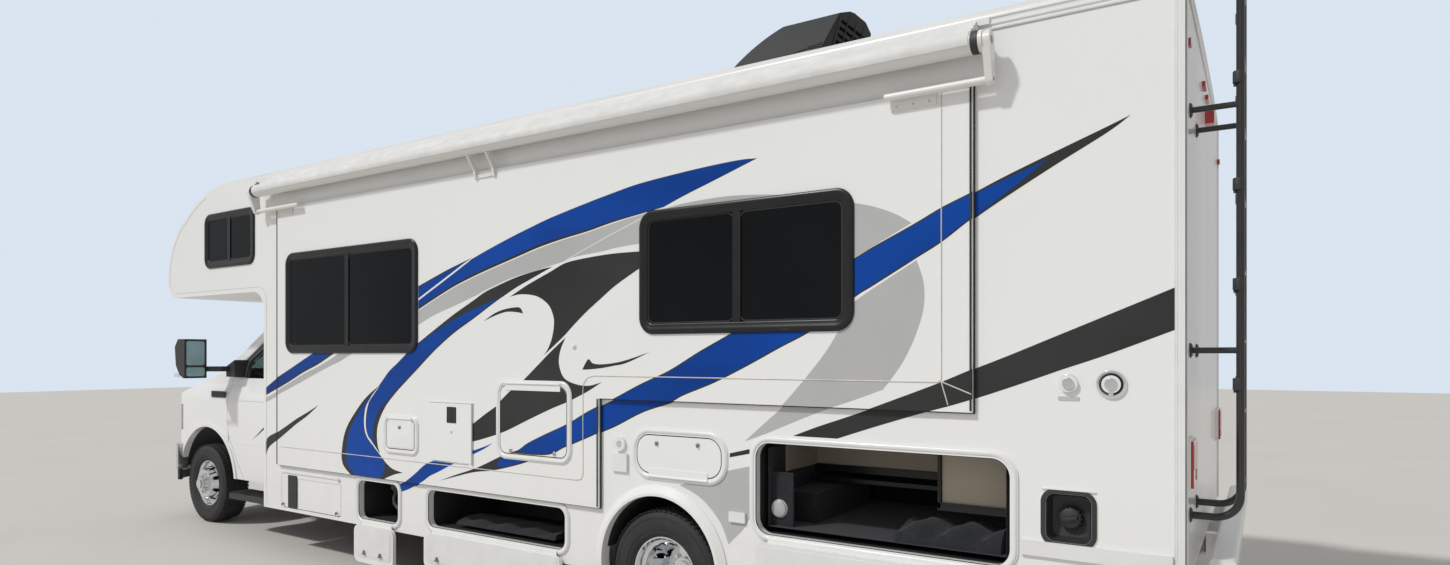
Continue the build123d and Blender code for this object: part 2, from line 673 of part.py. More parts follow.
# Front cap: nose skin, bunk floor and the wall behind the cab
PASS_HALF = 880.0
PASS_HIGH = 2060.0
CAP_HALF = HALF - SIDE_WALL
CHASSIS_HALF = 500.0
with BuildPart() as front_cap:
    with BuildSketch(side_plane(CAP_HALF)):
        add(coach_outline(2 * BOX_FRONT_STATION, SKIRT_Z, EAVE_Z + ROOF_EDGE))
        with BuildSketch(mode=Mode.PRIVATE) as core:
            add(coach_outline(2 * BOX_FRONT_STATION, SKIRT_Z, EAVE_Z + ROOF_EDGE))
            offset(amount=-END_WALL, kind=Kind.INTERSECTION)
        add(core.sketch, mode=Mode.SUBTRACT)
    extrude(amount=2 * CAP_HALF)
    block(BOX_FRONT_STATION + END_WALL, 3 * BOX_FRONT_STATION, -HALF, HALF, 0, 2 * EAVE_Z,
          mode=Mode.SUBTRACT)
    block(ROOF_FRONT_STATION, 3 * BOX_FRONT_STATION, -HALF, HALF, EAVE_Z - 2 * END_WALL,
          2 * EAVE_Z, mode=Mode.SUBTRACT)
    block(BOX_FRONT_STATION - END_WALL, BOX_FRONT_STATION + 2 * END_WALL, -PASS_HALF, PASS_HALF,
          CAB_FLOOR_TOP - CAB_FLOOR_THICK, PASS_HIGH, mode=Mode.SUBTRACT)
    block(BOX_FRONT_STATION - END_WALL, BOX_FRONT_STATION + 2 * END_WALL, -CHASSIS_HALF,
          CHASSIS_HALF, 0, CAB_FLOOR_TOP, mode=Mode.SUBTRACT)
    add(cab_form(-REST_GAP), mode=Mode.SUBTRACT)
save(front_cap.part, "front_cap")


HOOD_REAR = 150.0
HOOD_HALF = 760.0
HOOD_LOW = 1135.0
HOOD_THICK = 25.0
HOOD_HINGE = (147.0, 1421.5)
HOOD_HINGE_RADIUS = 5.0
HOOD_HINGES = (-540.0, 460.0)
HOOD_HINGE_LENGTH = 80.0
CAB_HINGE = (452.0, 1000.0)
CAB_HINGE_HEIGHTS = (960.0, 1080.0)
CAB_HINGE_LENGTH = 40.0
CAB_PIN_RADIUS = 4.0
CAB_PIN_SKIN = 4.0
CAB_HINGE_RELIEF = (14.0, 800.0, 930.0)
LAMP_INNER = 505.0
LAMP_LOW = 870.0
LAMP_HIGH = 1120.0
LAMP_REAR = -430.0
GRILLE_HALF = 480.0
GRILLE_LOW = 770.0
GRILLE_HIGH = 1120.0
FIREWALL = 470.0
HOUSE_INSIDE = 560.0
HOUSE_WALL = 8.0
HOUSE_OPEN_Z = 690.0
INTAKE_HALF = 480.0
INTAKE_HIGH = 740.0
JAMB_OUTER = 56.0
JAMB_INNER = 80.0
JAMB_OUTSIDE = 30.0
JAMB_INSIDE = -45.0
COWL_TOP = 1430.0
COWL_THICK = 22.0
SILL_BOX = (900.0, 955.0, 500.0)
SILL_BOX_ENDS = (620.0, 1500.0)
CAB_LIP_WIDTH = 36.0
CAB_LIP_PROUD = 10.0


def rod(start, end, radius, mode=Mode.ADD):
    """Round bar between two points."""
    line = Vector(*end) - Vector(*start)
    with BuildSketch(Plane(origin=start, z_dir=line)) as section:
        Circle(radius)
    extrude(section.sketch, amount=line.length, mode=mode)


def hood_hinges(radius, mode):
    """The two hinge barrels at the rear edge of the bonnet."""
    behind, height = HOOD_HINGE
    for y in HOOD_HINGES:
        rod((station(behind), y, height), (station(behind), y + HOOD_HINGE_LENGTH, height),
            radius, mode)


outer_skin = cab_skin(0, CAB_SKIN)

with BuildPart() as cab_shell:
    add(outer_skin)
    for side in (-1, 1):
        add(door_region(side, DOOR_GAP), mode=Mode.SUBTRACT)
    for outer, inner, hole in ((CAB_SKIN - 1, JAMB_INNER, DOOR_GAP),
                               (JAMB_OUTER, JAMB_INNER, JAMB_INSIDE)):
        with BuildPart(mode=Mode.PRIVATE) as jamb:
            add(cab_skin(outer, inner))
            with BuildPart(mode=Mode.PRIVATE) as band:
                for side in (-1, 1):
                    add(door_region(side, JAMB_OUTSIDE))
                for side in (-1, 1):
                    add(door_region(side, hole), mode=Mode.SUBTRACT)
            add(band.part, mode=Mode.INTERSECT)
        add(jamb.part)
    block(FIREWALL, CAB_REAR, -SILL_BOX[1], SILL_BOX[1], CAB_FLOOR_TOP - CAB_FLOOR_THICK,
          CAB_FLOOR_TOP)
    with BuildPart(mode=Mode.PRIVATE) as bulkhead:
        block(FIREWALL, FIREWALL + 20, -CAB_HALF, CAB_HALF, CAB_FLOOR_TOP - CAB_FLOOR_THICK,
              COWL_TOP)
        block(-SCREEN_FOOT[0], FIREWALL + 20, -CAB_HALF, CAB_HALF, COWL_TOP - COWL_THICK,
              COWL_TOP)
        add(cab_form(JAMB_OUTER + 4, drop=100.0), mode=Mode.INTERSECT)
    add(bulkhead.part)
    for side in (-1, 1):
        low_y, high_y = sorted((side * SILL_BOX[0], side * SILL_BOX[1]))
        block(SILL_BOX_ENDS[0], SILL_BOX_ENDS[1], low_y, high_y, SILL_BOX[2], CAB_FLOOR_TOP)
        inside, outside = sorted((side * HOUSE_INSIDE, side * (CAB_HALF - CAB_SKIN + 1)))
        with BuildPart(mode=Mode.PRIVATE) as house:
            wheel_arch(inside, outside, FRONT_ARCH_RADIUS + HOUSE_WALL, FRONT_ARCH_STATION,
                       FRONT_ARCH_Z, Mode.ADD)
            block(-2 * NOSE_FRONT, 2 * CAB_REAR, -CAB_HALF, CAB_HALF, -500, SILL_Z + 40,
                  mode=Mode.SUBTRACT)
        add(house.part)
        with BuildPart(mode=Mode.PRIVATE) as lip:
            inside, outside = sorted((side * (CAB_HALF - 1), side * (CAB_HALF + CAB_LIP_PROUD)))
            wheel_arch(inside, outside, FRONT_ARCH_RADIUS + CAB_LIP_WIDTH, FRONT_ARCH_STATION,
                       FRONT_ARCH_Z, Mode.ADD)
            block(-430, 2 * CAB_REAR, -2 * HALF, 2 * HALF, SILL_Z, 2 * SILL_Z + FRONT_ARCH_RADIUS,
                  mode=Mode.INTERSECT)
            add(door_region(side, DOOR_GAP), mode=Mode.SUBTRACT)
        add(lip.part)
    for side in (-1, 1):
        inside, outside = sorted((side * (HOUSE_INSIDE + HOUSE_WALL), side * (CAB_HALF + 20)))
        wheel_arch(inside, outside, FRONT_ARCH_RADIUS, FRONT_ARCH_STATION, FRONT_ARCH_Z,
                   Mode.SUBTRACT)
        inside, outside = sorted((side * (HOUSE_INSIDE - 1), side * (HOUSE_INSIDE + 100)))
        block(FRONT_ARCH_STATION - FRONT_ARCH_RADIUS, FRONT_ARCH_STATION + FRONT_ARCH_RADIUS,
              inside, outside, 0, HOUSE_OPEN_Z, mode=Mode.SUBTRACT)
        low_y, high_y = sorted((side * LAMP_INNER, side * (CAB_HALF + 20)))
        block(-2 * NOSE_FRONT, LAMP_REAR, low_y, high_y, LAMP_LOW, LAMP_HIGH, mode=Mode.SUBTRACT)
    add(screen_region(0.0), mode=Mode.SUBTRACT)
    block(-2 * NOSE_FRONT, HOOD_REAR, -HOOD_HALF, HOOD_HALF, HOOD_LOW, COWL_TOP + 100,
          mode=Mode.SUBTRACT)
    block(-2 * NOSE_FRONT, -600, -GRILLE_HALF, GRILLE_HALF, GRILLE_LOW, GRILLE_HIGH,
          mode=Mode.SUBTRACT)
    block(-2 * NOSE_FRONT, -600, -INTAKE_HALF, INTAKE_HALF, 0, INTAKE_HIGH,
          mode=Mode.SUBTRACT)
    hood_hinges(HOOD_HINGE_RADIUS + REST_GAP, Mode.SUBTRACT)
    for side in (-1, 1):
        behind, y = CAB_HINGE
        relief, low, high = CAB_HINGE_RELIEF
        rod((station(behind), side * y, low), (station(behind), side * y, high), relief,
            Mode.SUBTRACT)
        low_y, high_y = sorted((side * y, side * (CAB_HALF - JAMB_INNER + 2)))
        for height in CAB_HINGE_HEIGHTS:
            rod((station(behind), side * y, height),
                (station(behind), side * y, height + CAB_HINGE_LENGTH), CAB_PIN_RADIUS)
            block(behind - CAB_PIN_RADIUS, behind + CAB_PIN_RADIUS, low_y, high_y, height,
                  height + CAB_HINGE_LENGTH)
save(cab_shell.part, "cab_shell")

# Bonnet, a thin lid over the engine
with BuildPart() as hood:
    add(cab_skin(0, HOOD_THICK))
    block(-2 * NOSE_FRONT, HOOD_REAR - DOOR_GAP, -HOOD_HALF + DOOR_GAP, HOOD_HALF - DOOR_GAP,
          HOOD_LOW + DOOR_GAP, 1600, mode=Mode.INTERSECT)
    hood_hinges(HOOD_HINGE_RADIUS, Mode.ADD)
save(hood.part, "hood")

# Windscreen
with BuildPart() as windscreen:
    add(cab_skin(10, 16))
    add(screen_region(-REST_GAP), mode=Mode.INTERSECT)
save(windscreen.part, "windscreen")

# Head lamps, wrapped round the corners
with BuildPart() as head_lamps:
    with BuildPart(mode=Mode.PRIVATE) as corners:
        for side in (-1, 1):
            low_y, high_y = sorted((side * (LAMP_INNER + REST_GAP), side * (CAB_HALF + 20)))
            block(-2 * NOSE_FRONT, LAMP_REAR - REST_GAP, low_y, high_y, LAMP_LOW + REST_GAP,
                  LAMP_HIGH - REST_GAP)
    add(cab_skin(0, 39))
    add(corners.part, mode=Mode.INTERSECT)
save(head_lamps.part, "head_lamps")

# Cab doors, their glass and the tow mirrors
MIRROR_FRONT = 200.0
MIRROR_REAR = 385.0
MIRROR_INNER = 1165.0
MIRROR_OUTER = 1352.0
MIRROR_LOW = 1395.0
MIRROR_HIGH = 1750.0
MIRROR_ARM = ((535.0, 1030.0), (405.0, 1030.0), (345.0, 1090.0), (345.0, MIRROR_INNER + 2),
              (470.0, MIRROR_INNER + 2), (535.0, 1110.0))
MIRROR_ARM_LOW = 1455.0
MIRROR_ARM_HIGH = 1501.0
for side, word in ((1, "left"), (-1, "right")):
    with BuildPart() as cab_door:
        add(outer_skin)
        add(door_region(side, 0), mode=Mode.INTERSECT)
        add(glass_region(side, 0), mode=Mode.SUBTRACT)
        behind, y = CAB_HINGE
        low_y, high_y = sorted((side * (CAB_HALF - CAB_PIN_SKIN), side * (CAB_HALF - 100)))
        for height in CAB_HINGE_HEIGHTS:
            rod((station(behind), side * y, height - 3),
                (station(behind), side * y, height + CAB_HINGE_LENGTH + 3),
                CAB_PIN_RADIUS + REST_GAP, Mode.SUBTRACT)
            block(behind - 60, behind + CAB_PIN_RADIUS + 2, low_y, high_y, height - 3,
                  height + CAB_HINGE_LENGTH + 3, mode=Mode.SUBTRACT)
    save(cab_door.part, "cab_door_" + word)
    with BuildPart() as door_glass:
        add(cab_skin(14, 19))
        add(glass_region(side, -REST_GAP), mode=Mode.INTERSECT)
    save(door_glass.part, "door_glass_" + word)
    with BuildPart() as mirror_unit:
        with BuildSketch(side_plane(side * MIRROR_OUTER)):
            with BuildLine():
                Polyline((station(MIRROR_REAR), MIRROR_LOW), (station(MIRROR_REAR), MIRROR_HIGH),
                         (station(MIRROR_FRONT + 60), MIRROR_HIGH),
                         (station(MIRROR_FRONT), MIRROR_HIGH - 70),
                         (station(MIRROR_FRONT + 20), 1510), (station(MIRROR_FRONT + 90), 1425),
                         (station(MIRROR_REAR - 20), MIRROR_LOW), close=True)
            make_face()
        extrude(amount=side * (MIRROR_OUTER - MIRROR_INNER))
        with BuildSketch(Plane.XY.offset(MIRROR_ARM_LOW)):
            with BuildLine():
                Polyline([(station(behind), side * y) for behind, y in MIRROR_ARM], close=True)
            make_face()
        extrude(amount=MIRROR_ARM_HIGH - MIRROR_ARM_LOW)
        with BuildSketch(side_plane(side * 1040)):
            with BuildLine():
                Polyline((station(480), 1405), (station(480), 1500), (station(630), 1560),
                         (station(630), 1405), close=True)
            make_face()
        extrude(amount=side * 130)
        add(cab_form(-REST_GAP), mode=Mode.SUBTRACT)
    save(mirror_unit.part, "mirror_" + word)


def bumper_band(outer, inner, low, high):
    """Band round the front of the cab, between two distances from its outline."""
    with BuildPart() as band:
        with BuildSketch(Plane.XY.offset(low)):
            add(cab_plan(outer, CAB_REAR))
            with BuildSketch(mode=Mode.PRIVATE) as hole:
                add(cab_plan(inner, 2 * CAB_REAR))
            add(hole.sketch, mode=Mode.SUBTRACT)
        extrude(amount=high - low)
        block(BUMPER_REAR, 3 * CAB_REAR, -HALF, HALF, low - 1, high + 1, mode=Mode.SUBTRACT)
    return band.part


# Front bumper with its horns on the chassis rails
BUMPER_REAR = -440.0
BUMPER_PROUD = 45.0
BUMPER_LOW = 480.0
BUMPER_HIGH = 730.0
VALANCE_LOW = 375.0
VALANCE_PROUD = 30.0
RAIL_FRONT = -650.0
with BuildPart() as front_bumper:
    add(bumper_band(BUMPER_PROUD, 6, BUMPER_LOW, BUMPER_HIGH))
    for side in (-1, 1):
        low_y, high_y = sorted((side * (RAIL_INSIDE + 5), side * (RAIL_INSIDE + RAIL_WIDTH - 5)))
        block(RAIL_FRONT - 55, RAIL_FRONT - REST_GAP, low_y, high_y, 520, 660)
save(front_bumper.part, "front_bumper")

# Grille with its bars, and the lower valance
GRILLE_BARS = 5
with BuildPart() as grille:
    with BuildPart(mode=Mode.PRIVATE) as bars:
        block(-2 * NOSE_FRONT, -560, -GRILLE_HALF + REST_GAP, GRILLE_HALF - REST_GAP,
              GRILLE_LOW + REST_GAP, GRILLE_HIGH - REST_GAP)
        block(-2 * NOSE_FRONT, -560, -GRILLE_HALF + 30, GRILLE_HALF - 30, GRILLE_LOW + 30,
              GRILLE_HIGH - 30, mode=Mode.SUBTRACT)
        pitch = (GRILLE_HIGH - GRILLE_LOW) / (GRILLE_BARS + 1)
        for bar in range(GRILLE_BARS):
            middle = GRILLE_LOW + pitch * (bar + 1)
            block(-2 * NOSE_FRONT, -560, -GRILLE_HALF + 10, GRILLE_HALF - 10, middle - 9,
                  middle + 9)
        block(-2 * NOSE_FRONT, -560, -14, 14, GRILLE_LOW + 10, GRILLE_HIGH - 10)
    add(cab_skin(4, 34))
    add(bars.part, mode=Mode.INTERSECT)
    add(bumper_band(VALANCE_PROUD, 2, VALANCE_LOW, BUMPER_LOW - REST_GAP))
save(grille.part, "grille")

# Running boards under the cab doors, with their brackets
BOARD_LOW = 312.0
BOARD_HIGH = 361.0
with BuildPart() as running_boards:
    for side in (-1, 1):
        with BuildSketch(Plane.XY.offset(BOARD_LOW)):
            with BuildLine():
                Polyline((station(640), side * 900), (station(640), side * 1060),
                         (station(700), side * 1120), (station(1540), side * 1120),
                         (station(1540), side * 900), close=True)
            make_face()
        extrude(amount=BOARD_HIGH - BOARD_LOW)
        for bracket in (1020.0, 1380.0):
            root = RAIL_INSIDE + RAIL_WIDTH + REST_GAP
            low_y, high_y = sorted((side * root, side * 905))
            block(bracket, bracket + 60, low_y, high_y, BOARD_LOW + 6, BOARD_HIGH - 6)
            low_y, high_y = sorted((side * root, side * (root + 14)))
            block(bracket, bracket + 60, low_y, high_y, BOARD_LOW + 6, 600)
save(running_boards.part, "running_boards")

# Inside the cab: seats, dashboard and steering wheel
SEAT_Y = 450.0
SEAT_FRONT = 800.0
SEAT_REAR = 1320.0
WHEEL_CENTRE = (station(800.0), 450.0, 1345.0)
WHEEL_TILT = 62.0
DASH_HALF = 850.0
with BuildPart() as cab_interior:
    for side in (-1, 1):
        with BuildSketch(side_plane(side * SEAT_Y + 250)):
            with BuildLine():
                Polyline((station(SEAT_FRONT), 1010), (station(SEAT_FRONT), 1120),
                         (station(SEAT_FRONT + 40), 1150), (station(SEAT_REAR - 120), 1110),
                         (station(SEAT_REAR + 20), 1800), (station(SEAT_REAR + 130), 1800),
                         (station(SEAT_REAR + 10), 1010), close=True)
            make_face()
        extrude(amount=500)
        block(SEAT_FRONT + 90, SEAT_REAR - 60, side * SEAT_Y - 190, side * SEAT_Y + 190,
              CAB_FLOOR_TOP + REST_GAP, 1010)
    with BuildSketch(side_plane(DASH_HALF)):
        with BuildLine():
            dash_front = station(FIREWALL + 20 + REST_GAP)
            Polyline((dash_front, 1060), (dash_front, 1425), (station(650), 1425))
            ThreePointArc((station(650), 1425), (station(735), 1390), (station(755), 1300))
            Polyline((station(755), 1300), (station(690), 1060), (dash_front, 1060))
        make_face()
    extrude(amount=2 * DASH_HALF)
    wheel_plane = Plane(origin=WHEEL_CENTRE, x_dir=(0, 1, 0), z_dir=(
        -math.sin(math.radians(WHEEL_TILT)), 0, math.cos(math.radians(WHEEL_TILT))))
    with BuildSketch(wheel_plane) as rim_ring:
        Circle(200)
        Circle(176, mode=Mode.SUBTRACT)
        Rectangle(380, 34)
        Circle(60)
    extrude(rim_ring.sketch, amount=22)
    with BuildSketch(wheel_plane) as column:
        Circle(26)
    extrude(column.sketch, amount=-230)
save(cab_interior.part, "cab_interior")

# Chassis: two open rails, crossmembers, mounts, radiator and hitch receiver
RAIL_REAR = 8260.0
CROSSMEMBERS = (-600.0, 1640.0, 3000.0, 4300.0, 6250.0, 7400.0, 8190.0)
CROSSMEMBER_DEPTH = 60.0
CROSSMEMBER_LENGTH = 70.0
BODY_MOUNTS = (1750.0, 2900.0, 4100.0, 5000.0, 6090.0)
CAB_MOUNTS = (620.0, 1400.0)
MOUNT_LENGTH = 120.0
RECEIVER_OUTER = 63.5
RECEIVER_INNER = 51.0
RECEIVER_Z = 545.0
RECEIVER_FRONT = 8210.0
RECEIVER_REAR = 8400.0
RECEIVER_PIN_SETBACK = 62.0
RECEIVER_PIN_RADIUS = 8.2
TRUNK_PAD_TOP = 692.0 - LINER - REST_GAP
with BuildPart() as chassis_frame:
    for side in (-1, 1):
        low_y, high_y = sorted((side * RAIL_INSIDE, side * (RAIL_INSIDE + RAIL_WIDTH)))
        block(RAIL_FRONT, RAIL_REAR, low_y, high_y, RAIL_TOP - RAIL_HEIGHT, RAIL_TOP)
        low_y, high_y = sorted((side * (RAIL_INSIDE - 1),
                                side * (RAIL_INSIDE + RAIL_WIDTH - RAIL_WALL)))
        block(RAIL_FRONT - 1, RAIL_REAR + 1, low_y, high_y, RAIL_TOP - RAIL_HEIGHT + RAIL_WALL,
              RAIL_TOP - RAIL_WALL, mode=Mode.SUBTRACT)
    end_y = RAIL_INSIDE + RAIL_WIDTH - RAIL_WALL - REST_GAP
    top = RAIL_TOP - RAIL_WALL - REST_GAP
    for place in CROSSMEMBERS:
        block(place, place + CROSSMEMBER_LENGTH, -end_y, end_y, top - CROSSMEMBER_DEPTH, top)
    for side in (-1, 1):
        low_y, high_y = sorted((side * RAIL_INSIDE, side * (RAIL_INSIDE + RAIL_WIDTH)))
        for place in BODY_MOUNTS:
            block(place, place + MOUNT_LENGTH, low_y, high_y, RAIL_TOP - 1,
                  FLOOR_TOP - FLOOR_THICK - REST_GAP)
        for place in CAB_MOUNTS:
            block(place, place + MOUNT_LENGTH, low_y, high_y, RAIL_TOP - 1,
                  CAB_FLOOR_TOP - CAB_FLOOR_THICK - REST_GAP)
        for place in (6500.0, 7380.0):
            block(place, place + MOUNT_LENGTH, low_y, high_y, RAIL_TOP - 1, TRUNK_PAD_TOP)
        block(-540, -500, low_y, high_y, RAIL_TOP - 1, 1060)
    block(-535, -505, -RAIL_INSIDE + REST_GAP, RAIL_INSIDE - REST_GAP, 620, 1040)
    block(RECEIVER_FRONT, RECEIVER_REAR, -RECEIVER_OUTER / 2, RECEIVER_OUTER / 2,
          RECEIVER_Z - RECEIVER_OUTER / 2, RECEIVER_Z + RECEIVER_OUTER / 2)
    block(RECEIVER_FRONT - 20, RECEIVER_FRONT + 40, -RAIL_INSIDE - 20, RAIL_INSIDE + 20,
          RAIL_TOP - RAIL_HEIGHT + RAIL_WALL + REST_GAP, RECEIVER_Z + RECEIVER_OUTER / 2)
    block(RECEIVER_FRONT + 60, RECEIVER_REAR + 1, -RECEIVER_INNER / 2, RECEIVER_INNER / 2,
          RECEIVER_Z - RECEIVER_INNER / 2, RECEIVER_Z + RECEIVER_INNER / 2, mode=Mode.SUBTRACT)
    with BuildSketch(side_plane(0)):
        with Locations((station(RECEIVER_REAR - RECEIVER_PIN_SETBACK), RECEIVER_Z)):
            Circle(RECEIVER_PIN_RADIUS)
    extrude(amount=RECEIVER_OUTER, both=True, mode=Mode.SUBTRACT)
save(chassis_frame.part, "chassis_frame")

# Engine and gearbox as plain blocks, on the rails' lower flanges
FLANGE_TOP = RAIL_TOP - RAIL_HEIGHT + RAIL_WALL + REST_GAP
with BuildPart() as engine_block:
    block(-330, 450, -290, 290, 480, 1150)
    block(449, 1500, -180, 180, 450, 715)
    block(-60, 60, -RAIL_INSIDE - 50, RAIL_INSIDE + 50, FLANGE_TOP, 560)
save(engine_block.part, "engine_block")

# Front axle: two swinging beams, their arms, springs and brackets
BEAM_OFFSET = 45.0
YOKE_LOW = 300.0
YOKE_HIGH = 445.0
YOKE_PLATE = 18.0
YOKE_HALF = 28.0
YOKE_INSIDE = 690.0
YOKE_OUTSIDE = 716.0
BEAM_HALF = 25.0
KINGPIN_RADIUS = 11.0
AXLE_Z = TYRE_RADIUS
with BuildPart() as front_axle:
    for side in (-1, 1):
        rod((station(0), side * KINGPIN_Y, YOKE_LOW), (station(0), side * KINGPIN_Y, YOKE_HIGH),
            KINGPIN_RADIUS)
        beam = side * BEAM_OFFSET
        low_y, high_y = sorted((side * (YOKE_OUTSIDE - 1), side * -330))
        block(-beam - BEAM_HALF, -beam + BEAM_HALF, low_y, high_y, 335, 405)
        low_y, high_y = sorted((side * YOKE_INSIDE, side * YOKE_OUTSIDE))
        front, rear = sorted((-beam - side * (BEAM_HALF + 2), side * YOKE_HALF))
        block(front, rear, low_y, high_y, YOKE_LOW, YOKE_HIGH)
        low_y, high_y = sorted((side * YOKE_INSIDE, side * (KINGPIN_Y + 2 * KINGPIN_RADIUS)))
        for low in (YOKE_LOW, YOKE_HIGH - YOKE_PLATE):
            block(-YOKE_HALF, YOKE_HALF, low_y, high_y, low, low + YOKE_PLATE)
        low_y, high_y = sorted((side * -300, side * -345))
        block(-beam - 40, -beam + 40, low_y, high_y, 330, RAIL_TOP - RAIL_HEIGHT - REST_GAP)
        low_y, high_y = sorted((side * -300, side * -440))
        block(-beam - 40, -beam + 40, low_y, high_y, 470, RAIL_TOP - RAIL_HEIGHT - REST_GAP)
        rod((station(30), side * 560, 360), (station(960), side * 430, 430), 20)
        low_y, high_y = sorted((side * 400, side * 460))
        block(930, 990, low_y, high_y, 400, RAIL_TOP - RAIL_HEIGHT - REST_GAP)
        rod((station(0), side * 430, 390), (station(0), side * 430, RAIL_TOP - RAIL_HEIGHT
                                            - REST_GAP), 45)
save(front_axle.part, "front_axle")

# Steering knuckles with their spindles and brake discs
PIN_GAP = 5.0
STEERING_ARM = 165.0
SPINDLE_RADIUS = 30.0
REAR_SPINDLE_RADIUS = 44.0
DISC_OUT = 130.0
HUB_BORE_DEPTH = 30.0
FRONT_HUB_INNER = FRONT_TRACK / 2 + DISC_OUT - 60
REAR_HUB_INNER = REAR_TRACK / 2 - 60
BRAKE_RADIUS = 150.0
for side, word in ((1, "left"), (-1, "right")):
    with BuildPart() as knuckle:
        low_y, high_y = sorted((side * (KINGPIN_Y - 15), side * (KINGPIN_Y + 20)))
        block(-30, 30, low_y, high_y, YOKE_LOW + YOKE_PLATE + PIN_GAP,
              YOKE_HIGH - YOKE_PLATE - PIN_GAP)
        low_y, high_y = sorted((side * (KINGPIN_Y + 3), side * (KINGPIN_Y + 20)))
        block(0, STEERING_ARM, low_y, high_y, AXLE_Z - 28, AXLE_Z - 6)
        rod((station(0), side * KINGPIN_Y, AXLE_Z),
            (station(0), side * (FRONT_HUB_INNER + HUB_BORE_DEPTH - 2), AXLE_Z), SPINDLE_RADIUS)
        rod((station(0), side * 815, AXLE_Z), (station(0), side * 840, AXLE_Z), BRAKE_RADIUS)
        with BuildSketch(Plane.XY.offset(YOKE_LOW)) as bore:
            with Locations((station(0), side * KINGPIN_Y)):
                Circle(KINGPIN_RADIUS + REST_GAP)
        extrude(bore.sketch, amount=YOKE_HIGH - YOKE_LOW, mode=Mode.SUBTRACT)
    save(knuckle.part, "knuckle_" + word)

# Rear axle with its differential, leaf springs and drive shaft
SPRING_Y = 560.0
SPRING_HALF = 700.0
SPRING_WIDTH = 60.0
SPRING_REST = 436.0
SPRING_EYE = 545.0
with BuildPart() as rear_axle:
    rod((station(WHEELBASE), -735, AXLE_Z), (station(WHEELBASE), 735, AXLE_Z), 60)
    spindle_end = REAR_HUB_INNER + HUB_BORE_DEPTH - 2
    rod((station(WHEELBASE), -spindle_end, AXLE_Z), (station(WHEELBASE), spindle_end, AXLE_Z),
        REAR_SPINDLE_RADIUS)
    with Locations((station(WHEELBASE), 0, AXLE_Z)):
        Sphere(170)
    rod((station(1510), 0, 560), (station(WHEELBASE - 60), 0, AXLE_Z + 10), 40)
    for side in (-1, 1):
        with BuildSketch(side_plane(side * SPRING_Y + SPRING_WIDTH / 2)):
            with BuildLine():
                front = (station(WHEELBASE - SPRING_HALF), SPRING_EYE)
                rear = (station(WHEELBASE + SPRING_HALF), SPRING_EYE)
                ThreePointArc(front, (station(WHEELBASE), SPRING_REST), rear)
                Line(rear, (rear[0], rear[1] - 14))
                ThreePointArc((rear[0], rear[1] - 14), (station(WHEELBASE), SPRING_REST - 50),
                              (front[0], front[1] - 14))
                Line((front[0], front[1] - 14), front)
            make_face()
        extrude(amount=SPRING_WIDTH)
        for place in (WHEELBASE - SPRING_HALF - 30, WHEELBASE + SPRING_HALF - 30):
            low_y, high_y = sorted((side * (RAIL_INSIDE + RAIL_WIDTH + REST_GAP),
                                    side * (SPRING_Y + SPRING_WIDTH / 2)))
            block(place, place + 60, low_y, high_y, SPRING_EYE - 25, SPRING_EYE + 20)
            low_y, high_y = sorted((side * (RAIL_INSIDE + RAIL_WIDTH + REST_GAP),
                                    side * (RAIL_INSIDE + RAIL_WIDTH + 14)))
            block(place, place + 60, low_y, high_y, SPRING_EYE - 25, RAIL_TOP - 10)
save(rear_axle.part, "rear_axle")

# Exhaust, out to the right behind the rear wheels
MUFFLER_FRONT = 2200.0
MUFFLER_REAR = 2850.0
with BuildPart() as exhaust:
    points = [(station(460), -300, 420), (station(5000), -300, 420), (station(5350), -300, 545),
              (station(6020), -300, 545), (station(6150), -300, 430), (station(6230), -420, 430),
              (station(6280), -1180, 400)]
    for start, end in zip(points, points[1:]):
        rod(start, end, 30)
        with Locations(end):
            Sphere(30)
    with BuildSketch(cross_plane(MUFFLER_FRONT)):
        with Locations((-300, 420)):
            Ellipse(130, 75)
    extrude(amount=MUFFLER_FRONT - MUFFLER_REAR)
    for hanger in (1100.0, 3600.0):
        block(hanger, hanger + 30, -RAIL_INSIDE - 40, -290, 425, RAIL_TOP - RAIL_HEIGHT
              - REST_GAP)
save(exhaust.part, "exhaust")

# Tanks: fuel behind the rear axle, waste at the tail, fresh water on the right
EAR_HALF = RAIL_INSIDE + 55.0
TANKS = (
    (6350.0, 7350.0, -360.0, 360.0, 380.0, 640.0),
    (7500.0, 8100.0, -360.0, 360.0, 430.0, 640.0),
    (3120.0, 4340.0, -1195.0, -520.0, 480.0, FLOOR_TOP - FLOOR_THICK - REST_GAP),
)
with BuildPart() as tanks:
    for front, rear, low_y, high_y, low, high in TANKS:
        block(front, rear, low_y, high_y, low, high)
    fillet(tanks.edges().filter_by(Axis.X), radius=25)
    for front, rear, low_y, high_y, low, high in TANKS[:2]:
        for ear in (front + 100, rear - 180):
            block(ear, ear + 80, -EAR_HALF, EAR_HALF, FLANGE_TOP, FLANGE_TOP + 22)
save(tanks.part, "tanks")

# Rear bumper on brackets from the rails
with BuildPart() as rear_bumper:
    block(8346, 8439, -1100, 1100, 700, 800)
    fillet(rear_bumper.edges().filter_by(Axis.Y), radius=20)
    for side in (-1, 1):
        low_y, high_y = sorted((side * (RAIL_INSIDE + 5), side * (RAIL_INSIDE + RAIL_WIDTH - 5)))
        block(RAIL_REAR + REST_GAP, 8352, low_y, high_y, 560, 680)
        block(8300, 8352, low_y, high_y, 560, 780)
save(rear_bumper.part, "rear_bumper")


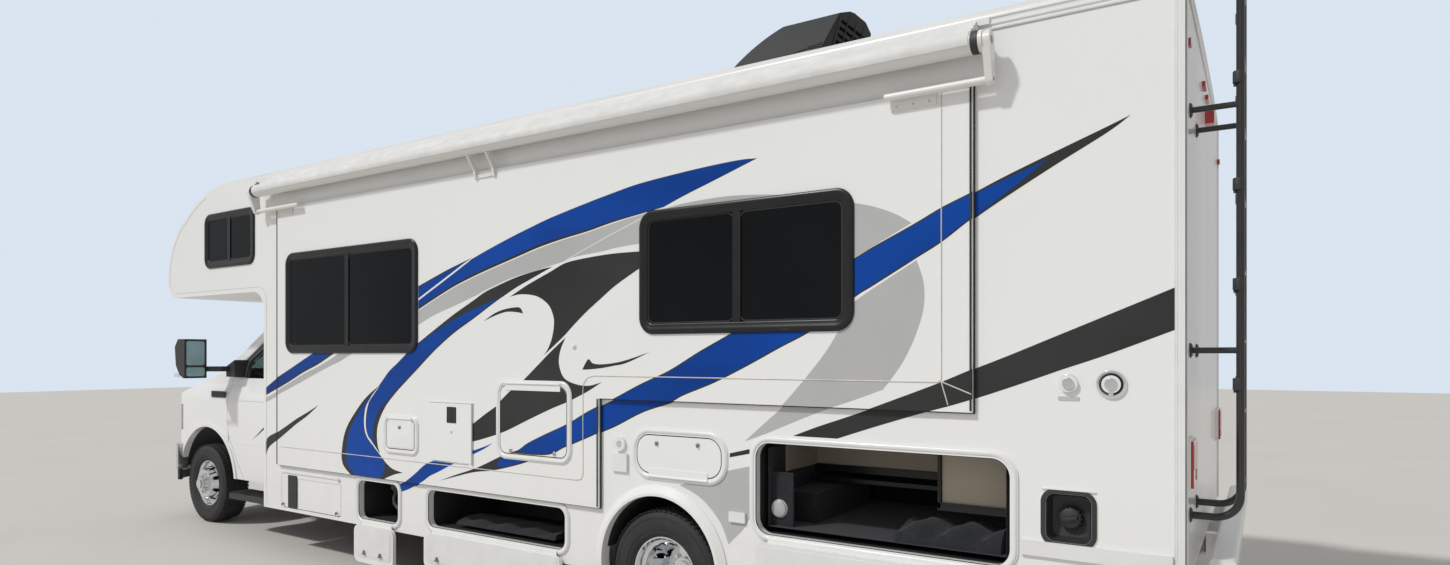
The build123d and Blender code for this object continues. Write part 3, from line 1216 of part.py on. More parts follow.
# Wheels: hollow sides, w counts outboard from the tyre's middle
TYRE_SECTION = (
    ((372.0, 0.0), (370.5, 45.0), (364.0, 86.0)),
    ((364.0, 86.0), (354.0, 101.0), (340.0, 107.0)),
    ((340.0, 107.0), (285.0, 112.5), (218.0, 92.0)),
)
BEAD_HALF = 79.0
RIM_SECTION = (
    (214, -89), (214, -81), (202.7, -80), (202.7, -45), (182, -35), (182, 35), (202.7, 45),
    (202.7, 80), (214, 81), (214, 89), (206, 89), (194, 72), (194, 50), (174, 40), (174, -40),
    (194, -50), (194, -72), (206, -89),
)
DISC_SECTION = ((177, 18), (177, 30), (132, DISC_OUT), (0, DISC_OUT), (0, DISC_OUT - 8),
                (126, DISC_OUT - 8))
HAND_HOLES = 8
HAND_HOLE_RADIUS = 19.0
HAND_HOLE_CIRCLE = 152.0
LUG_COUNT = 8
LUG_CIRCLE = 82.5
LUG_RADIUS = 13.0
LUG_LENGTH = 28.0
HUB_RADIUS = 62.0


def wheel_plane_at(side, y, behind):
    """Plane through a wheel's axle: sketch x is the radius, sketch y points to the left."""
    return Plane(origin=(station(behind), side * y, AXLE_Z), x_dir=(1, 0, 0), z_dir=(0, 0, 1))


def add_tyre(side, y, behind):
    """One tyre, a plain ring with round shoulders."""
    with BuildSketch(wheel_plane_at(side, y, behind)) as section:
        with BuildLine():
            for start, middle, end in TYRE_SECTION:
                ThreePointArc(start, middle, end)
            Polyline((218.0, 92.0), (216.0, BEAD_HALF), (RIM_RADIUS, BEAD_HALF), (RIM_RADIUS, 0))
            mirror(about=Plane.XZ)
        make_face()
    revolve(section.sketch, axis=Axis((station(behind), side * y, AXLE_Z), (0, 1, 0)))


def add_rim(side, y, behind, dish):
    """One rim with its disc dished outboard or inboard, hand holes and lug nuts."""
    axis = Axis((station(behind), side * y, AXLE_Z), (0, 1, 0))
    for outline, way in ((RIM_SECTION, 1), (DISC_SECTION, side * dish)):
        with BuildSketch(wheel_plane_at(side, y, behind)) as section:
            with BuildLine():
                Polyline([(radius, way * w) for radius, w in outline], close=True)
            make_face()
        revolve(section.sketch, axis=axis)
    face = Plane(origin=(station(behind), side * y, AXLE_Z), x_dir=(1, 0, 0),
                 z_dir=(0, side * dish, 0))
    with BuildSketch(face) as holes:
        with PolarLocations(HAND_HOLE_CIRCLE, HAND_HOLES, start_angle=22.5):
            Circle(HAND_HOLE_RADIUS)
    extrude(holes.sketch, amount=200, mode=Mode.SUBTRACT)


for place, behind in (("front", 0.0), ("rear", WHEELBASE)):
    for side, word in ((1, "left"), (-1, "right")):
        spots = ((FRONT_TRACK / 2, 1),)
        if place == "rear":
            spots = ((REAR_TRACK / 2 - TWIN_SPACING / 2, 1), (REAR_TRACK / 2 + TWIN_SPACING / 2, -1))
        with BuildPart() as tyre:
            for y, dish in spots:
                add_tyre(side, y, behind)
        save(tyre.part, "tyre_" + place + "_" + word)
        with BuildPart() as rim:
            for y, dish in spots:
                add_rim(side, y, behind, dish)
            front = place == "front"
            disc_out = FRONT_TRACK / 2 + DISC_OUT if front else REAR_TRACK / 2 + 10
            hub_in = FRONT_HUB_INNER if front else REAR_HUB_INNER
            axis_x = station(behind)
            rod((axis_x, side * hub_in, AXLE_Z), (axis_x, side * (disc_out + 34), AXLE_Z),
                HUB_RADIUS)
            rod((axis_x, side * (disc_out + 33), AXLE_Z), (axis_x, side * (disc_out + 50), AXLE_Z),
                HUB_RADIUS - 18)
            face = Plane(origin=(axis_x, side * (disc_out - 6), AXLE_Z), x_dir=(1, 0, 0),
                         z_dir=(0, side, 0))
            with BuildSketch(face) as nuts:
                with PolarLocations(LUG_CIRCLE, LUG_COUNT):
                    RegularPolygon(LUG_RADIUS, 6)
            extrude(nuts.sketch, amount=LUG_LENGTH)
            spindle = SPINDLE_RADIUS if front else REAR_SPINDLE_RADIUS
            with BuildSketch(Plane(origin=(axis_x, side * (hub_in - 1), AXLE_Z), x_dir=(1, 0, 0),
                                   z_dir=(0, side, 0))) as bore:
                Circle(spindle + REST_GAP)
            extrude(bore.sketch, amount=HUB_BORE_DEPTH + 1, mode=Mode.SUBTRACT)
        save(rim.part, "rim_" + place + "_" + word)

# Ladder at the tail, over the edge of the roof
LADDER_RADIUS = 15.0
LADDER_RAILS = (700.0, 1060.0)
LADDER_STATION = TAIL_STATION - LADDER_RADIUS
LADDER_TOP = 3300.0
LADDER_FOOT = 8120.0
LADDER_BEND = 90.0
LADDER_FOOT_GAP = 1.5
RUNG_FIRST = 1085.0
RUNG_PITCH = 290.0
RUNG_COUNT = 8
STANDOFFS = (1627.0, 2600.0)
ROOF_ARC_RADIUS = (HALF ** 2 + (ROOF_CROWN - ROOF_EDGE) ** 2) / (2 * (ROOF_CROWN - ROOF_EDGE))


def roof_height(y):
    """Height of the crowned roof at a width."""
    crest = EAVE_Z + ROOF_CROWN
    return crest - ROOF_ARC_RADIUS + math.sqrt(ROOF_ARC_RADIUS ** 2 - y ** 2)


with BuildPart() as ladder:
    for y in LADDER_RAILS:
        wall = station(REAR_WALL_STATION + REST_GAP)
        with BuildLine() as path:
            FilletPolyline((wall, y, 960), (station(LADDER_STATION), y, 960),
                           (station(LADDER_STATION), y, LADDER_TOP),
                           (station(LADDER_FOOT), y, LADDER_TOP),
                           (station(LADDER_FOOT), y, roof_height(y) + LADDER_FOOT_GAP),
                           radius=LADDER_BEND)
        with BuildSketch(Plane(origin=(wall, y, 960), z_dir=(-1, 0, 0))) as section:
            Circle(LADDER_RADIUS)
        sweep(section.sketch, path=path.line)
        for height in STANDOFFS:
            rod((wall, y, height), (station(LADDER_STATION), y, height), LADDER_RADIUS - 3)
    for rung in range(RUNG_COUNT):
        height = RUNG_FIRST + rung * RUNG_PITCH
        rod((station(LADDER_STATION), LADDER_RAILS[0], height),
            (station(LADDER_STATION), LADDER_RAILS[1], height), LADDER_RADIUS - 2)
    rod((station(LADDER_FOOT + 90), LADDER_RAILS[0], LADDER_TOP),
        (station(LADDER_FOOT + 90), LADDER_RAILS[1], LADDER_TOP), LADDER_RADIUS - 2)
save(ladder.part, "ladder")

# Roof units: air conditioner and two vents, cut to the crown of the roof
AIRCON_FRONT = 5820.0
AIRCON_REAR = 6568.0
AIRCON_REAR_FOOT = 6427.0
AIRCON_FOOT = 3130.0
AIRCON_TOP = 3570.0
AIRCON_SECTION = ((877.0, AIRCON_FOOT), (700.0, 3515.0), (600.0, 3553.0), (490.0, AIRCON_TOP),
                  (380.0, 3560.0), (287.0, 3530.0), (95.0, AIRCON_FOOT))
AIRCON_LOUVRES = 9
LOUVRE_DEPTH = 12.0
VENTS = ((3000.0, 0.0), (7200.0, -200.0))
VENT_SIZE = 400.0
with BuildPart() as roof_units:
    with BuildSketch(cross_plane(AIRCON_FRONT)):
        with BuildLine():
            Polyline(AIRCON_SECTION, close=True)
        make_face()
    extrude(amount=AIRCON_FRONT - AIRCON_REAR)
    fillet(roof_units.edges().filter_by(Axis.X).group_by(Axis.Z)[-2:], radius=40)
    with BuildPart(mode=Mode.PRIVATE) as profile:
        with BuildSketch(side_plane(HALF)):
            with BuildLine():
                front = station(AIRCON_FRONT)
                crest = station(AIRCON_REAR - 170)
                rear = station(AIRCON_REAR)
                foot = station(AIRCON_REAR_FOOT)
                ThreePointArc((front, AIRCON_FOOT + 30), (front - 215, 3425), (crest, AIRCON_TOP))
                Polyline((crest, AIRCON_TOP), (rear, AIRCON_TOP - 8), (foot, AIRCON_FOOT),
                         (foot, EAVE_Z), (front, EAVE_Z), (front, AIRCON_FOOT + 30))
            make_face()
        extrude(amount=2 * HALF)
    add(profile.part, mode=Mode.INTERSECT)
    pitch = (AIRCON_TOP - AIRCON_FOOT - 120) / AIRCON_LOUVRES
    for louvre in range(AIRCON_LOUVRES):
        low = AIRCON_FOOT + 60 + louvre * pitch
        lean = (AIRCON_REAR - AIRCON_REAR_FOOT) * (low - AIRCON_FOOT) / (AIRCON_TOP - AIRCON_FOOT)
        half = (AIRCON_SECTION[1][0] - AIRCON_SECTION[5][0]) / 2 - 30
        block(AIRCON_REAR_FOOT + lean - LOUVRE_DEPTH, AIRCON_REAR_FOOT + lean + 2 * LOUVRE_DEPTH,
              AIRCON_SECTION[3][0] - half, AIRCON_SECTION[3][0] + half, low, low + pitch / 2,
              mode=Mode.SUBTRACT)
    for vent, y in VENTS:
        block(vent, vent + VENT_SIZE, y - VENT_SIZE / 2, y + VENT_SIZE / 2, 3100, 3235)
    with BuildPart(mode=Mode.PRIVATE) as under:
        with BuildSketch(cross_plane(ROOF_FRONT_STATION)):
            with Locations((0, REST_GAP)):
                add(roof_section(ROOF_CROWN - ROOF_EDGE))
        extrude(amount=-REAR_WALL_STATION)
        block(ROOF_FRONT_STATION, 2 * REAR_WALL_STATION, -HALF, HALF, 3000, EAVE_Z + 1)
    add(under.part, mode=Mode.SUBTRACT)
save(roof_units.part, "roof_units")

# Awning over the slide room: roller on arms that ride on the slide room
ROLLER_Y = HALF + 95.0
ROLLER_Z = 2945.0
ROLLER_RADIUS = 48.0
END_PLATE = 32.0
END_PLATE_PROUD = 6.0
ARM_Y = SLIDE_FACE + 36.0
ARM_Z = 2788.0
ARM_RADIUS = 17.0
ARMS = ((ROLLER_FRONT - 2, 2190.0, 1830.0, 2050.0), (7070.0, ROLLER_REAR + 2, 7085.0, 7300.0))
STRAPS = (4222.0, 4396.0)
STRAP_WIDTH = 18.0
FABRIC_THICK = 3.0
with BuildPart() as topper:
    rod((station(ROLLER_FRONT), ROLLER_Y, ROLLER_Z), (station(ROLLER_REAR), ROLLER_Y, ROLLER_Z),
        ROLLER_RADIUS)
    for near in (ROLLER_FRONT, ROLLER_REAR + END_PLATE):
        with BuildSketch(cross_plane(near)) as plate:
            with Locations((ROLLER_Y, ROLLER_Z)):
                Circle(ROLLER_RADIUS - END_PLATE_PROUD)
            with Locations((ARM_Y, ARM_Z)):
                Circle(ARM_RADIUS + END_PLATE_PROUD)
            make_hull()
        extrude(plate.sketch, amount=END_PLATE)
    for front, rear, bracket_front, bracket_rear in ARMS:
        rod((station(front), ARM_Y, ARM_Z), (station(rear), ARM_Y, ARM_Z), ARM_RADIUS)
        block(bracket_front, bracket_rear, SLIDE_FACE + REST_GAP, ARM_Y, ARM_Z - 6, ARM_Z + 6)
        block(bracket_front, bracket_rear, SLIDE_FACE + REST_GAP, SLIDE_FACE + 8, ARM_Z - 58,
              ARM_Z + 6)
    for strap in STRAPS:
        with BuildSketch(cross_plane(strap)) as hook:
            with BuildLine():
                Polyline((SLIDE_FACE + REST_GAP, 2752), (SLIDE_FACE + REST_GAP, 2798),
                         (SLIDE_FACE + 10, 2830), (ROLLER_Y - 10, 2905), (ROLLER_Y + 30, 2915),
                         (ROLLER_Y + 8, 2882), (SLIDE_FACE + 26, 2806), (SLIDE_FACE + 14, 2752),
                         close=True)
            make_face()
        extrude(hook.sketch, amount=-STRAP_WIDTH)
    block(STRAPS[0], STRAPS[1] + STRAP_WIDTH, SLIDE_FACE + REST_GAP, SLIDE_FACE + 8, 2756, 2776)
save(topper.part, "topper")

with BuildPart() as topper_fabric:
    with BuildSketch(cross_plane(ROLLER_FRONT + 60)):
        with BuildLine():
            inner = HALF + AWNING_RAIL_PROUD + REST_GAP
            outer = ROLLER_Y
            top = ROLLER_Z + ROLLER_RADIUS + 2 * REST_GAP + FABRIC_THICK
            Polyline((inner, 3066), (outer, top), (outer, top - FABRIC_THICK),
                     (inner, 3066 - FABRIC_THICK), close=True)
        make_face()
    extrude(amount=-(ROLLER_REAR - ROLLER_FRONT - 120))
save(topper_fabric.part, "topper_fabric")

# Rolled patio awning on the right, with its arms along the wall
PATIO_FRONT = 2200.0
PATIO_REAR = 7400.0
PATIO_DEEP = 143.0
PATIO_ARM_LOW = 1260.0
PATIO_LOW = 2950.0
PATIO_HIGH = 3080.0
with BuildPart() as patio_awning:
    with BuildSketch(cross_plane(PATIO_FRONT)):
        with BuildLine():
            wall = -HALF - REST_GAP
            Polyline((wall, PATIO_LOW + 20), (wall, PATIO_HIGH), (wall - 40, PATIO_HIGH))
            ThreePointArc((wall - 40, PATIO_HIGH), (-HALF - PATIO_DEEP, 3010),
                          (wall - 50, PATIO_LOW))
            Line((wall - 50, PATIO_LOW), (wall, PATIO_LOW + 20))
        make_face()
    extrude(amount=PATIO_FRONT - PATIO_REAR)
    for arm in (PATIO_FRONT + 30, PATIO_REAR - 80):
        block(arm, arm + 50, -HALF - 34, -HALF - REST_GAP,
              PATIO_ARM_LOW, PATIO_LOW + 40)
save(patio_awning.part, "patio_awning")

# Tail lamps and marker lamps on the rear wall
LAMP_FACE = REAR_WALL_STATION + REST_GAP
with BuildPart() as tail_lamps:
    for side in (-1, 1):
        low_y, high_y = sorted((side * 1010, side * 1225))
        block(LAMP_FACE, LAMP_FACE + 24, low_y, high_y, 1088, 1270)
        low_y, high_y = sorted((side * 1165, side * 1225))
        block(LAMP_FACE, LAMP_FACE + 14, low_y, high_y, 2815, 2845)
    fillet(tail_lamps.edges().filter_by(Axis.X), radius=12)
    block(LAMP_FACE, LAMP_FACE + 40, -60, 60, 2780, 2850)
    for y in (-250, 0, 250):
        block(LAMP_FACE, LAMP_FACE + 14, y - 50, y + 50, 2905, 2930)
save(tail_lamps.part, "tail_lamps")

# Small fittings: filler cup and cap, inlets, rub rails
RUB_RAILS = ((7660.0, 8232.0, 762.0, 825.0), (6180.0, 6279.0, 735.0, 788.0))
with BuildPart() as fittings:
    with BuildSketch(side_plane(HALF + 4)) as lip:
        span(FILLER_FRONT - 14, FILLER_REAR + 14, FILLER_LOW - 14, FILLER_HIGH + 14, 59)
        with BuildSketch(mode=Mode.PRIVATE) as hole:
            span(FILLER_FRONT + 8, FILLER_REAR - 8, FILLER_LOW + 8, FILLER_HIGH - 8, 37)
        add(hole.sketch, mode=Mode.SUBTRACT)
    extrude(lip.sketch, amount=4 - REST_GAP)
    with BuildSketch(side_plane(HALF + 1)) as cup:
        span(FILLER_FRONT + 1, FILLER_REAR - 1, FILLER_LOW + 1, FILLER_HIGH - 1, 44)
    extrude(cup.sketch, amount=FILLER_DEPTH)
    with BuildSketch(side_plane(HALF + 5)) as bowl:
        span(FILLER_FRONT + 8, FILLER_REAR - 8, FILLER_LOW + 8, FILLER_HIGH - 8, 37)
    extrude(bowl.sketch, amount=FILLER_DEPTH - 6, mode=Mode.SUBTRACT)
    middle = station((FILLER_FRONT + FILLER_REAR) / 2)
    rod((middle, HALF - FILLER_DEPTH + 8, 925), (middle, HALF - 40, 925), 42)
    for front, rear, low, high in RUB_RAILS:
        block(front, rear, HALF + REST_GAP, HALF + 14, low, high)
    for behind, height, radius in ((5431.0, 1098.0, 42.0), (7851.0, 1490.0, 36.0),
                                   (8013.0, 1490.0, 36.0)):
        rod((station(behind), HALF + REST_GAP, height), (station(behind), HALF + 16, height),
            radius)
    block(5375, 5487, HALF + REST_GAP, HALF + 16, 940, 1044)
save(fittings.part, "fittings")
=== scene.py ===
import math

import bmesh
import bpy
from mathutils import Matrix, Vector
from mathutils.bvhtree import BVHTree
from mathutils.geometry import delaunay_2d_cdt


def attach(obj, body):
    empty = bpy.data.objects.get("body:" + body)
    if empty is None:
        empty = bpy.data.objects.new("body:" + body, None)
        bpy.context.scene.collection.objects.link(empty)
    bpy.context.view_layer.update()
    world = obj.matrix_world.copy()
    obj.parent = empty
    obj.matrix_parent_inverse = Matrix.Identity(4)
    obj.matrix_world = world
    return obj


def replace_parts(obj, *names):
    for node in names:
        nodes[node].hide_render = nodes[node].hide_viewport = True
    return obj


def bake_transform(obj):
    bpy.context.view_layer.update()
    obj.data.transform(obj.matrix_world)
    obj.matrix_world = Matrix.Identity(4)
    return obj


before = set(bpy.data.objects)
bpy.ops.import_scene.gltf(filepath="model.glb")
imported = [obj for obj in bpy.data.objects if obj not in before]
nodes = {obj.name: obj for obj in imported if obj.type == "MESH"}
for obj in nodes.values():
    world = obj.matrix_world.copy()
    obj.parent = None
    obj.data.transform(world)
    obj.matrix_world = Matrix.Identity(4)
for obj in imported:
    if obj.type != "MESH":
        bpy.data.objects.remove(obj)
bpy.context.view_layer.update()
scene = bpy.context.scene

# Places along the vehicle are stations: millimetres behind the front axle
FRONT_AXLE_X = 3857.5
MM = 0.001
# Half widths of the coach, the slide room and the cab, and how proud a shut door stands
HALF = 1257.5
SLIDE_FACE = 1284.5
CAB_SIDE = 1007.0
DOOR_PROUD = 7.3
LEFT = (0, 1, 0)
FORWARD = Vector((1, 0, 0))
SIDES = ((1, "left"), (-1, "right"))
# Start of the rays that come from ahead of the vehicle
AHEAD = -1500


def at(behind, y, z):
    """Point in metres from a station, a width and a height in millimetres."""
    return Vector(((FRONT_AXLE_X - behind) * MM, y * MM, z * MM))


def side_place(side, face):
    """Placer for outlines on a side wall: depth counts outwards from its face."""
    return lambda s, z, out: at(s, side * (face + out), z)


def cross_place(face, side=1):
    """Placer for outlines across the vehicle: depth counts rearwards from a station."""
    return lambda y, z, out: at(face + out, side * y, z)


MIDDLE = side_place(1, 0)
LEFT_WALL = side_place(1, HALF)
RIGHT_WALL = side_place(-1, HALF)
SLIDE_WALL = side_place(1, SLIDE_FACE)
TAIL = cross_place(8276)

# Camera at the photograph's place
camera_data = bpy.data.cameras.new("camera")
camera_data.lens = 20.46
camera_data.sensor_width = 36.0
camera_data.shift_y = 0.0497
camera_data.clip_end = 200.0
camera = bpy.data.objects.new("camera", camera_data)
camera.location = (-4.674, 4.8916, 1.6099)
camera.rotation_euler = (math.radians(90.0), 0.0, math.radians(213.25))
scene.collection.objects.link(camera)
scene.camera = camera


# Materials
def shade(tree, kind, values=(), feeds=(), **settings):
    """New shader node with its settings, input values and links into its inputs."""
    node = tree.nodes.new("ShaderNode" + kind)
    for name, value in settings.items():
        setattr(node, name, value)
    for key, value in values:
        node.inputs[key].default_value = value
    for key, socket in feeds:
        tree.links.new(socket, node.inputs[key])
    return node


def bump_from(tree, height, strength):
    """Bump of a millimetre from a height into the main shader."""
    bump = shade(tree, "Bump", (("Strength", strength), ("Distance", MM)), (("Height", height),))
    tree.links.new(bump.outputs["Normal"], tree.nodes["Principled BSDF"].inputs["Normal"])


def finish(name, colour, rough=0.4, metal=0.0, coat=0.0, vary=0.04, scale=3.0, grain=0.0,
           grain_scale=400.0, rough_vary=0.06, transmission=0.0, ior=1.5, sheen=0.0, dirt=None,
           specular=0.5, stretch=(1.0, 1.0, 1.0)):
    """Procedural finish: uneven colour and roughness, a fine grain and dirt low down."""
    material = bpy.data.materials.new(name)
    material.use_nodes = True
    tree = material.node_tree
    shader = tree.nodes["Principled BSDF"]
    for key, value in (("Metallic", metal), ("Coat Weight", coat), ("Coat Roughness", 0.06),
                       ("IOR", ior), ("Transmission Weight", transmission),
                       ("Sheen Weight", sheen), ("Specular IOR Level", specular)):
        shader.inputs[key].default_value = value
    place = shade(tree, "TexCoord").outputs["Object"]
    mapped = shade(tree, "Mapping", (("Scale", stretch),), (("Vector", place),)).outputs["Vector"]
    broad = shade(tree, "TexNoise", (("Scale", scale), ("Detail", 4.0)),
                  (("Vector", mapped),)).outputs["Fac"]
    ramp = shade(tree, "ValToRGB", (), (("Fac", broad),))
    for element, position, tint in zip(ramp.color_ramp.elements, (0.3, 0.7), (1 - vary, 1 + vary)):
        element.position = position
        element.color = [min(1.0, max(0.0, c * tint)) for c in colour] + [1.0]
    base = ramp.outputs["Color"]
    if dirt:
        dirt_colour, dirt_low, dirt_high, dirt_most = dirt
        parts = shade(tree, "SeparateXYZ", (), (("Vector", place),))
        fade = shade(tree, "MapRange", (("From Min", dirt_high), ("From Max", dirt_low),
                                        ("To Max", dirt_most)), (("Value", parts.outputs["Z"]),))
        spots = shade(tree, "TexNoise", (("Scale", 7.0), ("Detail", 8.0)), (("Vector", place),))
        amount = shade(tree, "Math", (), ((0, fade.outputs["Result"]), (1, spots.outputs["Fac"])),
                       operation="MULTIPLY")
        mix = shade(tree, "Mix", (), (), data_type="RGBA")
        mix.inputs[7].default_value = list(dirt_colour) + [1.0]
        tree.links.new(amount.outputs["Value"], mix.inputs[0])
        tree.links.new(base, mix.inputs[6])
        base = mix.outputs[2]
    tree.links.new(base, shader.inputs["Base Color"])
    spread = shade(tree, "MapRange", (("To Min", max(0.01, rough - rough_vary)),
                                      ("To Max", min(1.0, rough + rough_vary))),
                   (("Value", broad),))
    tree.links.new(spread.outputs["Result"], shader.inputs["Roughness"])
    if grain:
        fine = shade(tree, "TexNoise", (("Scale", grain_scale), ("Detail", 2.0)),
                     (("Vector", mapped),))
        bump_from(tree, fine.outputs["Fac"], grain)
    return material


def weave(name, colour, pitch, depth):
    """Woven cloth: two crossed waves of threads."""
    material = finish(name, colour, rough=0.85, vary=0.08, scale=9.0, sheen=0.3)
    tree = material.node_tree
    place = shade(tree, "TexCoord").outputs["Object"]
    waves = [shade(tree, "TexWave", (("Scale", 0.5 / pitch), ("Distortion", 0.6)),
                   (("Vector", place),), bands_direction=direction).outputs["Fac"]
             for direction in ("X", "Y")]
    both = shade(tree, "Math", (), ((0, waves[0]), (1, waves[1])), operation="MAXIMUM")
    bump_from(tree, both.outputs["Value"], depth)
    return material


ROAD_DIRT = ((0.46, 0.42, 0.36), 0.3, 1.1, 0.28)
OIL_DIRT = ((0.2, 0.18, 0.15), 0.2, 0.9, 0.5)
MAT = {
    "skin": finish("coach_skin", (0.86, 0.86, 0.845), rough=0.24, coat=0.25, vary=0.012, scale=0.7,
                   grain=0.06, grain_scale=14.0, dirt=ROAD_DIRT),
    "cab": finish("cab_paint", (0.87, 0.87, 0.86), rough=0.2, coat=0.6, vary=0.01, scale=1.5,
                  dirt=ROAD_DIRT),
    "trim": finish("white_trim", (0.80, 0.80, 0.785), rough=0.3, coat=0.2, vary=0.03, scale=6.0,
                   dirt=ROAD_DIRT),
    "sealant": finish("sealant", (0.66, 0.62, 0.55), rough=0.55, vary=0.12, scale=12.0),
    "blue": finish("blue_vinyl", (0.003, 0.052, 0.300), rough=0.34, vary=0.30, scale=1.1,
                   rough_vary=0.03, specular=0.14, stretch=(0.6, 1.0, 1.4)),
    "dark": finish("charcoal_vinyl", (0.032, 0.032, 0.032), rough=0.38, vary=0.22, scale=1.6,
                   rough_vary=0.03, specular=0.25),
    "silver": finish("silver_vinyl", (0.47, 0.47, 0.465), rough=0.28, coat=0.2, vary=0.05,
                     scale=1.5, grain=0.1, grain_scale=900.0),
    "white_vinyl": finish("white_vinyl", (0.84, 0.84, 0.83), rough=0.24, coat=0.3, vary=0.02),
    "frame": finish("black_frame", (0.013, 0.013, 0.014), rough=0.3, vary=0.15, scale=5.0,
                    grain=0.15, grain_scale=700.0, specular=0.35),
    # Opaque dark glass: the glass's own tint, with the shade of the inside painted in
    "glass": finish("dark_glass", (0.006, 0.007, 0.008), rough=0.03, vary=0.3, scale=0.8,
                    rough_vary=0.01, specular=0.1),
    "seal": finish("rubber_seal", (0.02, 0.02, 0.02), rough=0.7, vary=0.2, scale=20.0, grain=0.3),
    "plastic": finish("black_plastic", (0.030, 0.030, 0.032), rough=0.5, vary=0.12, scale=8.0,
                      grain=0.5, grain_scale=900.0),
    "liner": finish("liner_plastic", (0.028, 0.028, 0.030), rough=0.55, vary=0.2, scale=5.0,
                    grain=0.5, grain_scale=500.0),
    "chrome": finish("chrome", (0.78, 0.79, 0.80), rough=0.08, metal=1.0, vary=0.03, scale=8.0,
                     rough_vary=0.03),
    "metal": finish("brushed_metal", (0.60, 0.60, 0.59), rough=0.34, metal=1.0, vary=0.06,
                    scale=20.0, grain=0.2, grain_scale=300.0, stretch=(0.1, 1.0, 1.0)),
    "steel": finish("dull_steel", (0.33, 0.31, 0.29), rough=0.5, metal=0.9, vary=0.25, scale=9.0,
                    grain=0.4, grain_scale=120.0),
    "chassis": finish("chassis_black", (0.022, 0.022, 0.023), rough=0.5, vary=0.25, scale=6.0,
                      grain=0.3, grain_scale=150.0, dirt=OIL_DIRT),
    "tyre": finish("tyre_rubber", (0.026, 0.026, 0.027), rough=0.72, vary=0.2, scale=14.0,
                   grain=0.4, grain_scale=350.0),
    "clear": finish("clear_glass", (0.35, 0.42, 0.40), rough=0.03, transmission=1.0, vary=0.03,
                    rough_vary=0.01, ior=1.45),
    "lens": finish("lamp_lens", (0.86, 0.87, 0.88), rough=0.06, transmission=0.75, vary=0.04,
                   rough_vary=0.02),
    "red": finish("red_lens", (0.42, 0.012, 0.012), rough=0.14, coat=0.6, vary=0.12, scale=10.0,
                  grain=0.3, grain_scale=120.0),
    "amber": finish("amber_lens", (0.72, 0.22, 0.01), rough=0.14, coat=0.6, vary=0.1, scale=10.0),
    "roof": finish("roof_sheet", (0.80, 0.79, 0.76), rough=0.6, vary=0.05, scale=1.6, grain=0.25,
                   grain_scale=60.0),
    "floor": finish("floor_board", (0.26, 0.20, 0.14), rough=0.6, vary=0.2, scale=5.0, grain=0.3,
                    grain_scale=90.0, stretch=(0.2, 1.0, 1.0)),
    "panel": finish("wood_panel", (0.42, 0.36, 0.28), rough=0.5, vary=0.14, scale=3.0, grain=0.25,
                    grain_scale=120.0, stretch=(0.15, 1.0, 1.0)),
    "carpet": finish("carpet", (0.013, 0.014, 0.018), rough=0.95, vary=0.35, scale=60.0, grain=1.0,
                     grain_scale=700.0, sheen=0.15),
    "tank": finish("tank_plastic", (0.045, 0.045, 0.046), rough=0.6, vary=0.15, scale=6.0,
                   grain=0.4, grain_scale=250.0),
    "unit": finish("roof_unit_plastic", (0.017, 0.017, 0.018), rough=0.42, vary=0.18, scale=4.0,
                   grain=0.35, grain_scale=600.0, specular=0.2),
    "awning": finish("awning_metal", (0.80, 0.79, 0.76), rough=0.36, vary=0.03, scale=4.0,
                     grain=0.1, grain_scale=500.0, stretch=(0.1, 1.0, 1.0)),
    "ladder": finish("ladder_black", (0.018, 0.018, 0.019), rough=0.3, coat=0.3, vary=0.2,
                     scale=10.0, grain=0.1, grain_scale=500.0),
    # Mirror glass tinted blue-green: a painted reflection of the sky
    "mirror": finish("mirror_face", (0.42, 0.62, 0.68), rough=0.08, metal=0.3, vary=0.12,
                     scale=6.0, rough_vary=0.02),
    "cloth": weave("seat_cloth", (0.20, 0.185, 0.165), 0.004, 0.4),
    "awning_cloth": weave("awning_cloth", (0.74, 0.735, 0.71), 0.0015, 0.25),
    "dash": finish("dash_plastic", (0.10, 0.095, 0.09), rough=0.6, vary=0.1, scale=6.0, grain=0.6,
                   grain_scale=800.0),
}

# Finishes of the carried-over CAD nodes
NODE_FINISH = {
    "skin": ("left_wall", "right_wall", "rear_wall", "front_cap", "slide_room", "battery_door",
             "service_door", "long_door", "wheel_door", "trunk_door_left", "trunk_door_right",
             "gas_door", "access_door", "water_hatch", "entry_door"),
    "roof": ("roof",),
    "floor": ("coach_floor",),
    "frame": ("coach_windows", "slide_windows"),
    "liner": ("lockers",),
    "cab": ("cab_shell", "hood", "cab_door_left", "cab_door_right"),
    "clear": ("windscreen", "door_glass_left", "door_glass_right"),
    "lens": ("head_lamps",),
    "plastic": ("grille", "mirror_left", "mirror_right", "running_boards"),
    "chrome": ("front_bumper", "rim_front_left", "rim_front_right", "rim_rear_left",
               "rim_rear_right"),
    "dash": ("cab_interior",),
    "chassis": ("chassis_frame", "engine_block", "front_axle", "rear_axle", "knuckle_left",
                "knuckle_right", "entry_step"),
    "tank": ("tanks",),
    "steel": ("exhaust",),
    "trim": ("rear_bumper", "fittings"),
    "tyre": ("tyre_front_left", "tyre_front_right", "tyre_rear_left", "tyre_rear_right"),
    "ladder": ("ladder",),
    "unit": ("roof_units",),
    "awning": ("topper", "patio_awning"),
    "awning_cloth": ("topper_fabric",),
    "red": ("tail_lamps",),
}
for key, members in NODE_FINISH.items():
    for member in members:
        mesh = nodes[member].data
        mesh.materials.clear()
        mesh.materials.append(MAT[key])


